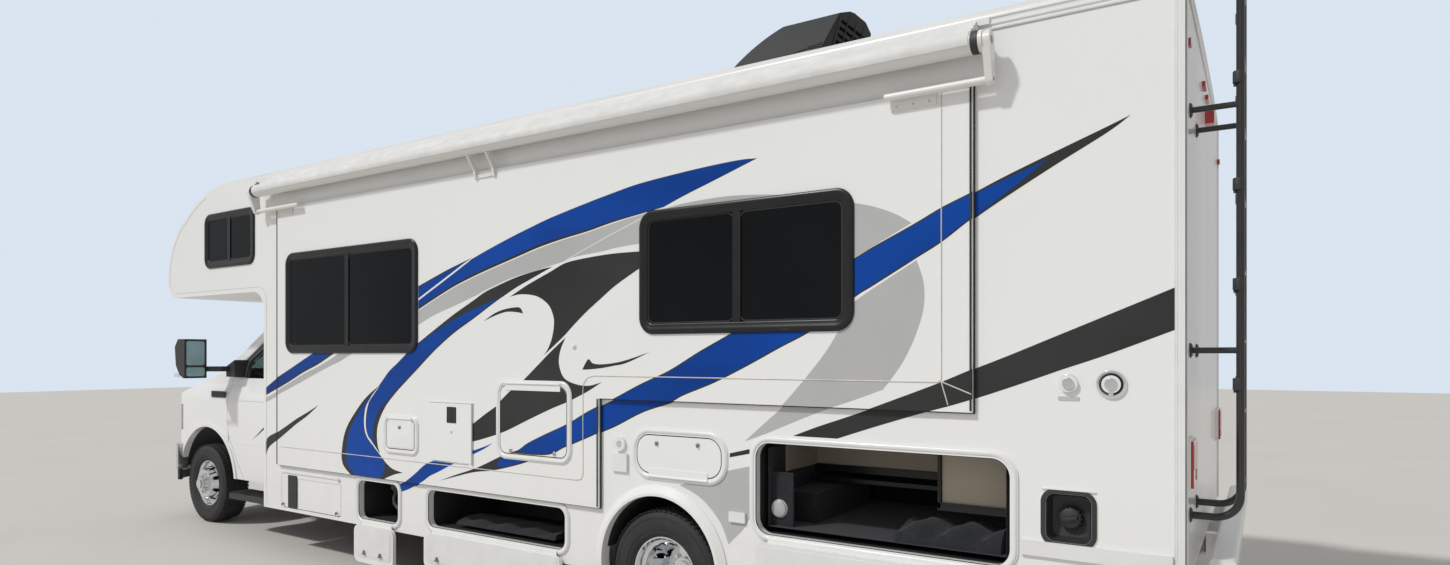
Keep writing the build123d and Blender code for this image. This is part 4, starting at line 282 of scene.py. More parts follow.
# Mesh building
def rounded(front, rear, low, high, radius, steps=6):
    """Outline of a rounded rectangle in stations and heights."""
    radius = max(radius, 0.5)
    outline = []
    for s, z, start in ((rear - radius, high - radius, 0), (front + radius, high - radius, 90),
                        (front + radius, low + radius, 180), (rear - radius, low + radius, 270)):
        for k in range(steps + 1):
            angle = math.radians(start + 90 * k / steps)
            outline.append((s + radius * math.cos(angle), z + radius * math.sin(angle)))
    return outline


def square_to(along):
    """Direction square to another."""
    guide = Vector((0, 0, 1)) if abs(along.z) < 0.9 else FORWARD
    return along.cross(guide).normalized()


def circle(centre, along, across, radius, sides):
    """Points of a circle about an axis; the radius is in millimetres."""
    up = along.cross(across)
    return [centre + (across * math.cos(a) + up * math.sin(a)) * (radius * MM)
            for a in (2 * math.pi * k / sides for k in range(sides))]


class Form:
    """Mesh that grows piece by piece; each step returns the form."""

    def __init__(self):
        self.points = []
        self.faces = []

    def add(self, points, faces):
        """Points in metres and faces that count from these points."""
        base = len(self.points)
        self.points += [tuple(point) for point in points]
        self.faces += [tuple(base + corner for corner in face) for face in faces]
        return self

    def loft(self, loops, closed=False, capped=True):
        """Skin over loops of equal count; closed joins the last loop to the first."""
        count = len(loops[0])
        faces = []
        for row in range(len(loops) if closed else len(loops) - 1):
            low = row * count
            high = (row + 1) % len(loops) * count
            for k in range(count):
                step = (k + 1) % count
                faces.append((low + k, low + step, high + step, high + k))
        if capped and not closed:
            faces.append(tuple(range(count))[::-1])
            faces.append(tuple((len(loops) - 1) * count + k for k in range(count)))
        return self.add([point for loop in loops for point in loop], faces)

    def plate(self, outline, near, far, place):
        """Flat plate from an outline, between two depths; place turns (u, v, depth) to a point."""
        return self.loft([[place(u, v, depth) for u, v in outline] for depth in (near, far)])

    def plates(self, place, *rows):
        """Rounded plates: front, rear, low, high, radius, steps, near and far depth."""
        for *rect, near, far in rows:
            self.plate(rounded(*rect), near, far, place)
        return self

    def hoop(self, rect, profile, place):
        """Frame round a rounded rectangle; the profile's points are (outset, out)."""
        front, rear, low, high, radius = rect
        return self.loft([[place(s, z, out)
                           for s, z in rounded(front - grow, rear + grow, low - grow, high + grow,
                                               radius + grow, steps=8)]
                          for grow, out in profile], closed=True)

    def tube(self, path, radius, sides):
        """Round bar along a path of points; the radius is in millimetres."""
        loops = []
        across = None
        for k, point in enumerate(path):
            along = (path[min(k + 1, len(path) - 1)] - path[max(k - 1, 0)]).normalized()
            if across is None:
                across = square_to(along)
            else:
                across = (across - along * across.dot(along)).normalized()
            loops.append(circle(point, along, across, radius, sides))
        return self.loft(loops)

    def lathe(self, profile, centre, axis, steps, capped=True):
        """Profile of (radius, along) in millimetres turned about an axis through a point."""
        axis = Vector(axis).normalized()
        across = square_to(axis)
        return self.loft([circle(centre + axis * (along * MM), axis, across, radius, steps)
                          for radius, along in profile], capped=capped)

    def boxes(self, *rows):
        """Boxes between two stations, two widths and two heights."""
        for front, rear, y_low, y_high, low, high in rows:
            outline = [(front, low), (rear, low), (rear, high), (front, high)]
            self.plate(outline, y_low, y_high, MIDDLE)
        return self


def make(form, name, body, material, bevel=0.0, smooth=40.0, levels=0):
    """Object from a form, riding on a body; bevel in millimetres, sharp edges past smooth degrees."""
    mesh = bpy.data.meshes.new(name)
    mesh.from_pydata(form.points, [], form.faces)
    work = bmesh.new()
    work.from_mesh(mesh)
    bmesh.ops.remove_doubles(work, verts=work.verts, dist=1e-6)
    bmesh.ops.recalc_face_normals(work, faces=work.faces)
    work.to_mesh(mesh)
    work.free()
    piece = bpy.data.objects.new(name, mesh)
    scene.collection.objects.link(piece)
    mesh.materials.append(MAT[material])
    if smooth:
        mesh.shade_smooth()
        mesh.set_sharp_from_angle(angle=math.radians(smooth))
    if bevel:
        soft = piece.modifiers.new("edges", "BEVEL")
        soft.width = bevel * MM
        soft.segments = 2
        soft.limit_method = "ANGLE"
        soft.angle_limit = math.radians(40)
        soft.harden_normals = bool(smooth)
    if levels:
        finer = piece.modifiers.new("levels", "SUBSURF")
        finer.levels = levels
        finer.render_levels = levels
    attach(piece, body)
    return piece


def smooth_run(points, steps=7):
    """Points along a smooth line through the given ones."""
    if len(points) < 3:
        return list(points)
    ends = [points[0]] + list(points) + [points[-1]]
    line = []
    for a, b, c, d in zip(ends, ends[1:], ends[2:], ends[3:]):
        for k in range(steps):
            t = k / steps
            line.append(tuple(0.5 * (2 * q + (r - p) * t + (2 * p - 5 * q + 4 * r - s) * t * t
                                     + (3 * q - p - 3 * r + s) * t ** 3)
                              for p, q, r, s in zip(a, b, c, d)))
    line.append(tuple(points[-1]))
    return line


# Points closer than this, in millimetres, count as one
SAME_POINT = 0.2


def outline_of(runs):
    """Closed outline from smooth runs with corners between; each starts where the last ended."""
    outline = []
    end = []
    for run in runs:
        for point in smooth_run(end + run):
            if not outline or math.dist(point, outline[-1]) > SAME_POINT:
                outline.append(point)
        end = run[-1:]
    if math.dist(outline[0], outline[-1]) < SAME_POINT:
        outline.pop()
    return outline


def inside(point, outline):
    """Whether a point lies within an outline, by the crossings of a ray."""
    x, y = point
    hit = False
    for (x1, y1), (x2, y2) in zip(outline, outline[1:] + outline[:1]):
        if (y1 > y) != (y2 > y) and x < x1 + (y - y1) * (x2 - x1) / (y2 - y1):
            hit = not hit
    return hit


def film(name, shapes, region, holes, place, body, layer):
    """Vinyl film on a flat face: shapes cut to a region, less its holes; layer is (tone, low, high)."""
    tone, low, high = layer
    points = []
    edges = []
    for outline in list(shapes) + [region] + list(holes):
        base = len(points)
        count = len(outline)
        points += [Vector(point) * MM for point in outline]
        edges += [(base + k, base + (k + 1) % count) for k in range(count)]
    flat, _, cells, _, _, _ = delaunay_2d_cdt(points, edges, [], 0, 1e-6, True)
    spots = [(point[0] / MM, point[1] / MM) for point in flat]
    chosen = []
    for cell in cells:
        middle = (sum(spots[k][0] for k in cell) / 3, sum(spots[k][1] for k in cell) / 3)
        if (inside(middle, region) and any(inside(middle, shape) for shape in shapes)
                and not any(inside(middle, hole) for hole in holes)):
            chosen.append(list(cell))
    if not chosen:
        return
    used = sorted({k for cell in chosen for k in cell})
    index = {k: n for n, k in enumerate(used)}
    count = len(used)
    skin = []
    sides = set()
    for cell in chosen:
        loop = [index[k] for k in cell]
        skin.append(tuple(loop[::-1]))
        skin.append(tuple(k + count for k in loop))
        sides |= set(zip(loop, loop[1:] + loop[:1]))
    skin += [(a, b, b + count, a + count) for a, b in sides if (b, a) not in sides]
    vertices = [place(*spots[k], out) for out in (low, high) for k in used]
    make(Form().add(vertices, skin), name, body, tone, smooth=0)


touch_trees = {}


def touch(node, start, way):
    """Where a ray from a point first meets a CAD node, or None."""
    mesh = nodes[node].data
    if node not in touch_trees:
        touch_trees[node] = BVHTree.FromPolygons([v.co for v in mesh.vertices],
                                                 [p.vertices for p in mesh.polygons])
    return touch_trees[node].ray_cast(start, way)[0]


def on_line(value, first, last):
    """Second coordinate at a first one, on the line through two points."""
    return first[1] + (last[1] - first[1]) * (value - first[0]) / (last[0] - first[0])


# Door openings, as in the CAD: side, face, front, rear, low, high and corner radius
DOORS = {
    "battery_door": (1, HALF, 1830, 2665, 372, 650, 30),
    "service_door": (1, HALF, 2895, 3372, 396, 681, 60),
    "long_door": (1, HALF, 3705, 4999, 426, 681, 60),
    "wheel_door": (1, HALF, 5555, 6133, 946, 1165, 90),
    "trunk_door_left": (1, HALF, 6340, 7615, 692, 1160, 80),
    "trunk_door_right": (-1, HALF, 6340, 7615, 692, 1160, 80),
    "gas_door": (-1, HALF, 2300, 3000, 396, 681, 60),
    "access_door": (1, SLIDE_FACE, 4457, 5043, 984, 1416, 55),
    "water_hatch": (1, SLIDE_FACE, 3276, 3598, 940, 1145, 30),
}
# Windows, as in the CAD: side, front, rear, low, high, corner radius and station of the divider
WINDOWS = {
    "coach_windows": (
        (1, 565, 1415, 2375, 2860, 90, 995),
        (-1, 565, 1415, 2375, 2860, 90, 995),
        (-1, 2350, 3450, 1720, 2400, 90, 2900),
        (-1, 6500, 7250, 1720, 2400, 90, 6875),
    ),
    "slide_windows": (
        (1, 1950, 3625, 1620, 2420, 95, 2790),
        (1, 5595, 6900, 1722, 2410, 95, 6245),
    ),
}

# Windows: black frames, a divider, two dark panes each and drain slots; the panes are opaque, their
# tint with the shaded inside painted in
FRAME_PROFILE = ((0, 0.3), (0, 7), (-5, 12), (-14, 14), (-30, 14), (-34, 11), (-50, 10.5),
                 (-57, 8), (-60, 4), (-60, -4), (-47, -4), (-47, 0.3))
for node, table in WINDOWS.items():
    body, face, wall = ("slide", SLIDE_FACE, 57) if node == "slide_windows" else ("coach", HALF, 40)
    frames, panes, seals = Form(), Form(), Form()
    for side, front, rear, low, high, radius, divider in table:
        place = side_place(side, face)
        rect = (front, rear, low, high, radius)
        frames.hoop(rect, FRAME_PROFILE, place)
        frames.hoop(rect, ((-47, -3.7), (-55, -3.7), (-55, -wall), (-47, -wall)), place)
        frames.plates(place, (divider - 22, divider + 22, low + 56, high - 56, 2, 1, -3, 9),
                      (divider - 30, divider - 20, low + 58, high - 58, 2, 1, -3, 5))
        for first, last, out in ((front + 58, divider - 20, -1), (divider + 12, rear - 58, 2)):
            panes.plates(place, (first, last, low + 58, high - 58, radius - 52, 6, out - 4, out))
            seals.hoop((first + 2, last - 2, low + 60, high - 60, radius - 54),
                       ((1, out - 0.5), (1, out + 3), (-5, out + 3), (-7, out - 0.5)), place)
        for part in (0.28, 0.72):
            middle = front + (rear - front) * part
            seals.plates(place, (middle - 16, middle + 16, low + 12, low + 20, 3, 3, 13, 14.6))
    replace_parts(make(frames, node + "_frames", body, "frame", 0, 50), node)
    make(panes, node + "_panes", body, "glass", 0.8, 35)
    make(seals, node + "_seals", body, "seal", 0, 50)

# Raised mouldings and seals round the locker openings
RING_PROFILE = ((31, 6), (29, 10), (20, 11.5), (10, 10), (7, 6))
SEAL_PROFILE = ((1.5, 1), (1.5, 5.5), (-2.5, 5.5), (-2.5, 1))
RING_REACH = 34.5
for name, (side, face, *rect) in DOORS.items():
    if name != "battery_door":
        place = side_place(side, face)
        body = "slide" if face == SLIDE_FACE else "coach"
        make(Form().hoop(rect, RING_PROFILE, place), name + "_ring", body, "trim", 0, 60)
        make(Form().hoop(rect, SEAL_PROFILE, place), name + "_seal", body, "seal",
             0, 60)

# Stripes on the left side: smooth runs of stations and heights that meet at corners. A run
# starts where the one before it ends, and a run of one point is a straight edge
STRIPES = {
    "silver": (
        [[(3630, 1914), (3800, 1981), (4000, 2055), (4200, 2114), (4400, 2165), (4600, 2213),
         (4800, 2261), (5000, 2298), (5199, 2327), (5399, 2364), (5599, 2394), (5764, 2412),
         (5900, 2428), (6100, 2437), (6260, 2434), (6484, 2413), (6700, 2378), (6911, 2327),
         (7000, 2302), (7100, 2261), (7183, 2210)], [(6911, 2074), (6700, 1960)], [(5620, 2234)],
         [(5500, 2228), (5399, 2220), (5300, 2207), (5100, 2191), (4999, 2167), (4912, 2152),
         (4720, 2120), (4600, 2101), (4496, 2078), (4400, 2052), (4299, 2022), (4200, 1989),
         (4000, 1933), (3800, 1879), (3630, 1816)]],
        [[(7207, 2039), (7236, 1954), (7244, 1880), (7236, 1802), (7199, 1690), (7148, 1586),
         (7092, 1506), (7044, 1447)], [(6900, 1394), (6700, 1327), (6500, 1247), (6399, 1206),
         (6271, 1159)], [(6399, 1266), (6500, 1349), (6599, 1450), (6700, 1562), (6764, 1642),
         (6820, 1730), (6850, 1800)], [(6911, 1868), (7207, 2039)]],
        [[(2870, 1625), (2806, 1601), (2700, 1561), (2598, 1532), (2400, 1471), (2200, 1404),
         (2000, 1340), (1805, 1278)], [(1805, 1316)], [(2000, 1385), (2200, 1457), (2400, 1516),
         (2598, 1586), (2690, 1625)]],
    ),
    "dark": (
        [[(3630, 2084), (3900, 2168), (4060, 2212), (4184, 2245)], [(4128, 2222), (3904, 2121),
         (3630, 1998)]],
        [[(3630, 1984), (3904, 2107), (4128, 2208), (4202, 2242), (4400, 2305), (4592, 2361),
         (4704, 2391), (4900, 2441), (5199, 2502), (5399, 2539), (5599, 2571), (5900, 2598),
         (6100, 2611), (6260, 2617), (6362, 2612)], [(6100, 2530), (5900, 2469), (5764, 2422)],
         [(5599, 2399), (5399, 2371), (5199, 2334), (5000, 2305), (4800, 2269), (4600, 2221),
         (4400, 2173), (4200, 2122), (4000, 2063), (3800, 1989), (3630, 1922)]],
        [[(2352, 1628), (2200, 1571), (2000, 1494), (1805, 1421)], [(1805, 1328)], [(2000, 1396),
         (2200, 1471), (2400, 1534), (2598, 1612), (2620, 1625)]],
        [[(3520, 1648), (3498, 1620), (3399, 1553), (3300, 1492), (3199, 1404), (3098, 1316),
         (3048, 1240), (3023, 1154), (3023, 1074), (3047, 1016), (3098, 957), (3189, 899)],
         [(3165, 946), (3154, 1018), (3162, 1090), (3199, 1165), (3250, 1231), (3300, 1279),
         (3399, 1357), (3498, 1426), (3610, 1503), (3800, 1634), (4000, 1751), (4200, 1845),
         (4400, 1943), (4496, 1986), (4600, 2031), (4720, 2074), (4914, 2143)], [(4800, 2130),
         (4600, 2095), (4400, 2042), (4299, 2010), (4200, 1965), (4000, 1877), (3800, 1778),
         (3610, 1682)]],
        [[(3196, 1390), (3100, 1343), (2999, 1279), (2900, 1194), (2799, 1090), (2746, 1002),
         (2722, 914), (2714, 858), (2716, 824), (2734, 782), (2778, 746), (2830, 716)],
         [(3240, 716)], [(3290, 736), (3370, 761), (3455, 778)], [(3349, 794), (3290, 818),
         (3250, 842), (3205, 876), (3130, 930), (3050, 991), (3015, 1034), (2999, 1090),
         (2999, 1154), (3021, 1231), (3082, 1298), (3196, 1390)]],
        [[(4544, 1975), (4699, 2042), (4899, 2114), (5025, 2159), (5199, 2179), (5399, 2190),
         (5620, 2189)], [(5620, 2110)], [(5604, 2100), (5500, 2049), (5399, 1996), (5300, 1932),
         (5199, 1866), (5100, 1793), (4999, 1713), (4845, 1608)], [(4880, 1650), (4912, 1714),
         (4928, 1794), (4920, 1850), (4880, 1914), (4800, 1962), (4720, 1981), (4624, 1986),
         (4544, 1975)]],
        [[(5024, 1712), (4896, 1624), (4800, 1552), (4676, 1459), (4612, 1412), (4548, 1377),
         (4460, 1313), (4415, 1280), (4300, 1218), (4164, 1141), (3999, 1061), (3900, 1007),
         (3828, 965)], [(3900, 978), (3999, 1002), (4199, 1042), (4300, 1066), (4452, 1107),
         (4548, 1139), (4700, 1200), (4900, 1277), (5041, 1325), (5092, 1347), (5199, 1392),
         (5312, 1450)], [(5220, 1428), (5140, 1429), (5060, 1446), (5012, 1470), (4984, 1508),
         (4968, 1570), (4984, 1642), (5024, 1712)]],
        [[(8083, 2566), (7999, 2533), (7799, 2458), (7599, 2381), (7452, 2319), (7324, 2268),
         (7199, 2207), (6999, 2116), (6913, 2073), (6700, 1968), (6400, 1818), (6199, 1719),
         (5999, 1625), (5800, 1523), (5600, 1445), (5400, 1357), (5200, 1275), (5036, 1193),
         (4900, 1140), (4799, 1100), (4700, 1057), (4628, 1015), (4548, 992)], [(4868, 998),
         (5028, 1056), (5200, 1120), (5300, 1159), (5400, 1197), (5600, 1285), (5800, 1344),
         (5899, 1389), (6099, 1461), (6299, 1549), (6499, 1645), (6656, 1717), (6790, 1800),
         (6913, 1888), (6999, 1934), (7199, 2044), (7324, 2113), (7452, 2201), (7599, 2290),
         (7799, 2402), (7999, 2509), (8083, 2566)]],
        [[(4720, 985), (4520, 980), (4460, 962), (4399, 938), (4228, 871), (3999, 802),
         (3864, 758)], [(3999, 792), (4199, 840), (4399, 869), (4599, 915), (4700, 944)]],
        [[(7800, 1686), (7599, 1602), (7452, 1543), (7308, 1482), (7100, 1402), (6900, 1327),
         (6700, 1258), (6556, 1203)], [(6799, 1203)], [(6999, 1271), (7199, 1335), (7399, 1394),
         (7599, 1463), (7800, 1538)]],
        [[(4299, 1826), (4400, 1874), (4496, 1898), (4600, 1907), (4640, 1898), (4661, 1866)],
         [(4624, 1873), (4560, 1880), (4496, 1879), (4400, 1858), (4299, 1826)]],
        [[(5159, 1521), (5205, 1582), (5240, 1560), (5299, 1553), (5400, 1561), (5499, 1579),
         (5662, 1623)], [(5499, 1563), (5400, 1545), (5299, 1530), (5200, 1522), (5159, 1521)]],
        [[(2408, 1218), (2249, 1156), (2099, 1100), (2000, 1057), (1805, 973)], [(1805, 908)],
         [(2000, 1009), (2099, 1060), (2249, 1129), (2408, 1218)]],
    ),
    "blue": (
        [[(3630, 2076), (3900, 2159), (4060, 2204), (4160, 2233)], [(4128, 2220), (3904, 2120),
         (3630, 1999)]],
        [[(3630, 1984), (3904, 2107), (4128, 2208), (4202, 2240), (4400, 2302), (4592, 2358),
         (4704, 2388), (4900, 2438), (5199, 2499), (5399, 2536), (5599, 2568), (5900, 2595),
         (6100, 2608), (6260, 2614), (6345, 2611)], [(6100, 2533), (5900, 2472), (5764, 2425)],
         [(5599, 2405), (5399, 2381), (5199, 2346), (5000, 2319), (4800, 2285), (4600, 2237),
         (4400, 2189), (4200, 2138), (4000, 2077), (3800, 2002), (3630, 1934)]],
        [[(2344, 1625), (2200, 1567), (2000, 1490), (1805, 1418)], [(1805, 1340)], [(2000, 1407),
         (2200, 1484), (2400, 1549), (2560, 1616), (2580, 1625)]],
        [[(3520, 1640), (3498, 1614), (3399, 1547), (3300, 1486), (3199, 1398), (3102, 1310),
         (3052, 1236), (3029, 1154), (3029, 1074), (3053, 1020), (3103, 961), (3180, 909)],
         [(3122, 962), (3105, 1018), (3114, 1085), (3145, 1160), (3199, 1222), (3250, 1262),
         (3300, 1300), (3399, 1374), (3498, 1440), (3610, 1516), (3800, 1646), (4000, 1762),
         (4200, 1855), (4400, 1950), (4490, 1985)], [(4400, 1960), (4200, 1905), (4000, 1842),
         (3800, 1764), (3610, 1672)]],
        [[(3178, 1375), (3100, 1322), (2999, 1250), (2900, 1154), (2826, 1058), (2786, 962),
         (2775, 882), (2786, 802), (2826, 754), (2890, 718)], [(3190, 718)], [(3232, 760),
         (3246, 800), (3236, 838), (3202, 872)], [(3130, 926), (3047, 988), (3011, 1034),
         (2995, 1090), (2995, 1154), (3017, 1231), (3079, 1299), (3178, 1375)]],
        [[(7770, 2430), (7599, 2368), (7452, 2312), (7324, 2261), (7199, 2200), (6999, 2109),
         (6913, 2066), (6700, 1961), (6400, 1811), (6199, 1712), (5999, 1618), (5800, 1516),
         (5600, 1438), (5400, 1350), (5200, 1268), (5036, 1186), (4900, 1133), (4799, 1093),
         (4700, 1050), (4640, 1016), (4600, 1004)], [(4868, 1006), (5028, 1064), (5200, 1128),
         (5300, 1167), (5400, 1205), (5600, 1293), (5800, 1352), (5899, 1397), (6099, 1469),
         (6299, 1557), (6499, 1653), (6656, 1725), (6790, 1808), (6913, 1896), (6999, 1942),
         (7199, 2052), (7324, 2121), (7452, 2209), (7599, 2308), (7770, 2430)]],
        [[(4380, 1040), (4300, 1013), (4180, 978), (3999, 938), (3900, 914), (3788, 885),
         (3700, 853), (3610, 794), (3546, 754), (3450, 700)], [(3570, 690)], [(3674, 735),
         (3749, 778), (3850, 818), (3962, 866), (4052, 900), (4180, 951), (4300, 999),
         (4380, 1040)]],
        [[(4700, 962), (4500, 956), (4440, 928), (4452, 893), (4599, 924), (4700, 950)]],
    ),
    "white_vinyl": (
        [[(3630, 1998), (3904, 2121), (4128, 2222), (4196, 2244)], [(4128, 2210), (3904, 2107),
         (3630, 1984)]],
        [[(3196, 1391), (3090, 1296), (3028, 1228), (3004, 1150), (3006, 1080), (3022, 1030),
         (3058, 990), (3136, 932), (3212, 874)], [(3140, 938), (3084, 984), (3047, 1016),
         (3023, 1070), (3021, 1150), (3044, 1236), (3094, 1312), (3196, 1391)]],
        [[(5020, 2175), (5200, 2239), (5400, 2308), (5604, 2375)], [(5604, 2370)], [(5400, 2303),
         (5200, 2234), (5020, 2171)]],
    ),
}
# Stripes on the coach wall around the slide room
WALL_STRIPES = {
    "silver": (
        [[(5851, 895), (5960, 930), (6120, 985), (6300, 1032)], [(6300, 760)], [(6262, 700),
         (6200, 640), (6172, 610)], [(6120, 720), (6020, 820), (5930, 868), (5851, 895)]],
        [[(1783, 1313), (1649, 1270), (1588, 1252)], [(1588, 1215)], [(1649, 1232), (1783, 1275)]],
    ),
    "dark": (
        [[(1783, 1428), (1649, 1364), (1590, 1334)], [(1590, 1274)], [(1649, 1292), (1783, 1338)]],
        [[(1783, 983), (1635, 931), (1588, 887)], [(1588, 777)], [(1642, 847), (1749, 903),
         (1783, 925)]],
        [[(8246, 1874), (7999, 1770), (7799, 1686), (7599, 1602), (7400, 1522)], [(7400, 1394)],
         [(7599, 1463), (7799, 1538), (7999, 1610), (8246, 1709)]],
        [[(6179, 1091), (6301, 1121)], [(6301, 1097)], [(6179, 1070)]],
    ),
    "blue": (
        [[(1783, 1425), (1649, 1361), (1590, 1331)], [(1590, 1284)], [(1649, 1303), (1783, 1350)]],
        [[(3500, 735), (3412, 699), (3330, 660)], [(3330, 610)], [(3400, 636), (3476, 659),
         (3573, 699), (3640, 730)]],
    ),
}
SLIDE_OUTLINE = [(1805, 2800), (7460, 2800), (7460, 1355), (5284, 1355), (5284, 716), (1805, 716)]
WALL_OUTLINE = [(1560, 2795), (8246, 2795), (8246, 420), (6168, 420), (6168, 345), (1560, 345)]
# Films lie in layers: tone, lower and upper face
LAYERS = (("silver", 0.1, 0.35), ("dark", 0.1, 0.6), ("blue", 0.3, 0.85),
          ("white_vinyl", 0.5, 1.1))
REAR_AXLE = 5710
ARCH_HEIGHT = 425
ARCH_RADIUS = 459
ARCH_STEPS = 48
arch = [(REAR_AXLE + ARCH_RADIUS * math.cos(a), ARCH_HEIGHT + ARCH_RADIUS * math.sin(a))
        for a in (2 * math.pi * k / ARCH_STEPS for k in range(ARCH_STEPS))]


def door_outline(name, grow=RING_REACH):
    """Outline of a door's opening, grown by so much."""
    front, rear, low, high, radius = DOORS[name][2:]
    return rounded(front - grow, rear + grow, low - grow, high + grow, radius + grow)


slide_holes = [door_outline("access_door"), door_outline("water_hatch")]
slide_holes += [rounded(front + 2, rear - 2, low + 2, high - 2, radius - 2)
                for _, front, rear, low, high, radius, _ in WINDOWS["slide_windows"]]
wall_holes = [door_outline(name)
              for name in ("service_door", "long_door", "wheel_door", "trunk_door_left")]
wall_holes += [[(1804.5, 2801), (7460.5, 2801), (7460.5, 1354.5), (5284.5, 1354.5),
                (5284.5, 715.5), (1804.5, 715.5)], arch]
for layer in LAYERS:
    tone = layer[0]
    shapes = [outline_of(runs) for runs in STRIPES[tone]]
    film("slide_stripes_" + tone, shapes, SLIDE_OUTLINE, slide_holes, SLIDE_WALL, "slide",
         layer)
    film("access_door_stripes_" + tone, shapes, door_outline("access_door", -6.5), [],
         side_place(1, SLIDE_FACE + DOOR_PROUD), "access_door", layer)
    shapes += [outline_of(runs) for runs in WALL_STRIPES.get(tone, ())]
    film("wall_stripes_" + tone, shapes, WALL_OUTLINE, wall_holes, LEFT_WALL, "coach",
         layer)

# Tyres with tread blocks: radius and width from the middle, in millimetres
TYRE_RADIUS = 372.0
TYRE_STEPS = 96
SHOULDER = ((203, 79), (216, 79), (218, 92), (226, 98), (250, 106), (285, 112.5), (312, 111.5),
            (330, 109), (346, 103.5), (357, 94), (361, 84), (363, 60))
CARCASS = [(r, -w) for r, w in SHOULDER] + [(363.5, 0)] + list(SHOULDER[::-1])
# Tread rows: middle, half width, phase and outer radius
TREAD_ROWS = ((-84, 19, 0.0, 368.5), (-45, 17, 0.5, 371.5), (0, 20, 0.0, 372.0),
              (45, 17, 0.5, 371.5), (84, 19, 0.0, 368.5))
TREAD_BLOCKS = 64
TREAD_LEAN = 0.012
BLOCK_FILL = 0.78
BLOCK_FACES = ((0, 1, 3, 2), (8, 10, 11, 9), (0, 4, 5, 1), (1, 5, 7, 3), (3, 7, 6, 2),
               (2, 6, 4, 0), (4, 8, 9, 5), (5, 9, 11, 7), (7, 11, 10, 6), (6, 10, 8, 4))
SIDEWALL_BANDS = ((238, 103.5), (262, 109.5), (322, 111.3))


def tyre_form(form, centre):
    """Tyre about the crosswise axis through a point."""
    base = len(form.points)
    form.lathe(CARCASS, centre, LEFT, TYRE_STEPS, capped=False)
    last = len(form.points) - TYRE_STEPS
    form.faces += [(base + k, base + (k + 1) % TYRE_STEPS, last + (k + 1) % TYRE_STEPS, last + k)
                   for k in range(TYRE_STEPS)]
    turn = 2 * math.pi * BLOCK_FILL / TREAD_BLOCKS
    for row, (middle, half, phase, top) in enumerate(TREAD_ROWS):
        lean = TREAD_LEAN if row % 2 else -TREAD_LEAN
        for k in range(TREAD_BLOCKS):
            start = 2 * math.pi * (k + phase) / TREAD_BLOCKS
            corners = []
            for radius, inset in ((358, 0.0), (top - 1.5, 0.0), (top, 1.6)):
                edge = inset / TYRE_RADIUS
                for w, shift in ((middle - half + inset, -lean), (middle + half - inset, lean)):
                    r = radius - (2.5 if abs(w) > 95 and radius > 360 else 0.0)
                    corners += [centre + Vector((r * math.cos(a), w, r * math.sin(a))) * MM
                                for a in (start + shift + edge, start + shift + turn - edge)]
            form.add(corners, BLOCK_FACES)
    for radius, w in SIDEWALL_BANDS:
        for way in (-1, 1):
            form.lathe([(radius + rise, way * (w + out)) for rise, out in
                        ((-3, -1.5), (-1.5, 1.2), (1.5, 1.2), (3, -1.5))],
                       centre, LEFT, 72, capped=False)


for end, behind, spots in (("front", 0, (881.5,)), ("rear", REAR_AXLE, (857.5, 1121.5))):
    for side, word in SIDES:
        tyres = Form()
        for y in spots:
            tyre_form(tyres, at(behind, side * y, TYRE_RADIUS))
        tread = make(tyres, f"tread_{end}_{word}", f"wheel_{end}_{word}", "tyre", 0, 30)
        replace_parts(tread, f"tyre_{end}_{word}")

# Sealant beads along the slide room's trim
BEADS = (
    ((7322, 2796), (7322, 1500), (7308, 1486), (5250, 1486), (5200, 1474), (5172, 1440),
     (5165, 1400), (5165, 900), (5150, 874), (5120, 866), (1868, 866)),
    ((7322, 1486), (7352, 1385)),
    ((7308, 1494), (7456, 1436)),
)
beads = Form()
for line in BEADS:
    beads.tube([SLIDE_WALL(s, z, 0.4) for s, z in line], 3.0, 8)
make(beads, "slide_trim_beads", "slide", "sealant", 0, 60)

# Awning cloth over the slide room: from the wall rail round the roller's top
ROLLER_Y = HALF + 95.0
ROLLER_Z = 2945.0
ROLLER_RADIUS = 48.0
WRAP_RADIUS = ROLLER_RADIUS + 3.4
RAIL_Y = HALF + 18.5
RAIL_Z = 3067
CLOTH_SAG = 9
CLOTH_FRONT = 1640.0
CLOTH_REAR = 7475.0
CLOTH_THICK = 2.4
CLOTH_STEPS = 72
FREE_STEPS = 8
cloth_line = []
for k in range(FREE_STEPS + 1):
    part = k / FREE_STEPS
    cloth_line.append((RAIL_Y + part * (ROLLER_Y - RAIL_Y), RAIL_Z - CLOTH_SAG * part * (1 - part)
                       + part * (ROLLER_Z + WRAP_RADIUS - RAIL_Z)))
for angle in (math.radians(90 - 14 * k) for k in range(1, 9)):
    cloth_line.append((ROLLER_Y + WRAP_RADIUS * math.cos(angle),
                       ROLLER_Z + WRAP_RADIUS * math.sin(angle)))
loops = []
for k in range(CLOTH_STEPS + 1):
    s = CLOTH_FRONT + (CLOTH_REAR - CLOTH_FRONT) * k / CLOTH_STEPS
    upper = []
    lower = []
    for n, (y, z) in enumerate(cloth_line):
        ripple = 0.5 * math.sin(s / 83.0) * math.sin(math.pi * min(n, FREE_STEPS) / FREE_STEPS)
        upper.append(at(s, y, z + ripple))
        lower.append(at(s, y - 0.7 * CLOTH_THICK * (n > 7), z + ripple - CLOTH_THICK * (n < 12)))
    loops.append(upper + lower[::-1])
cloth_piece = make(Form().loft(loops), "topper_cloth", "coach", "awning_cloth",
                   0, 60)
cloth_piece.parent = None
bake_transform(cloth_piece)
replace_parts(cloth_piece, "topper_fabric")

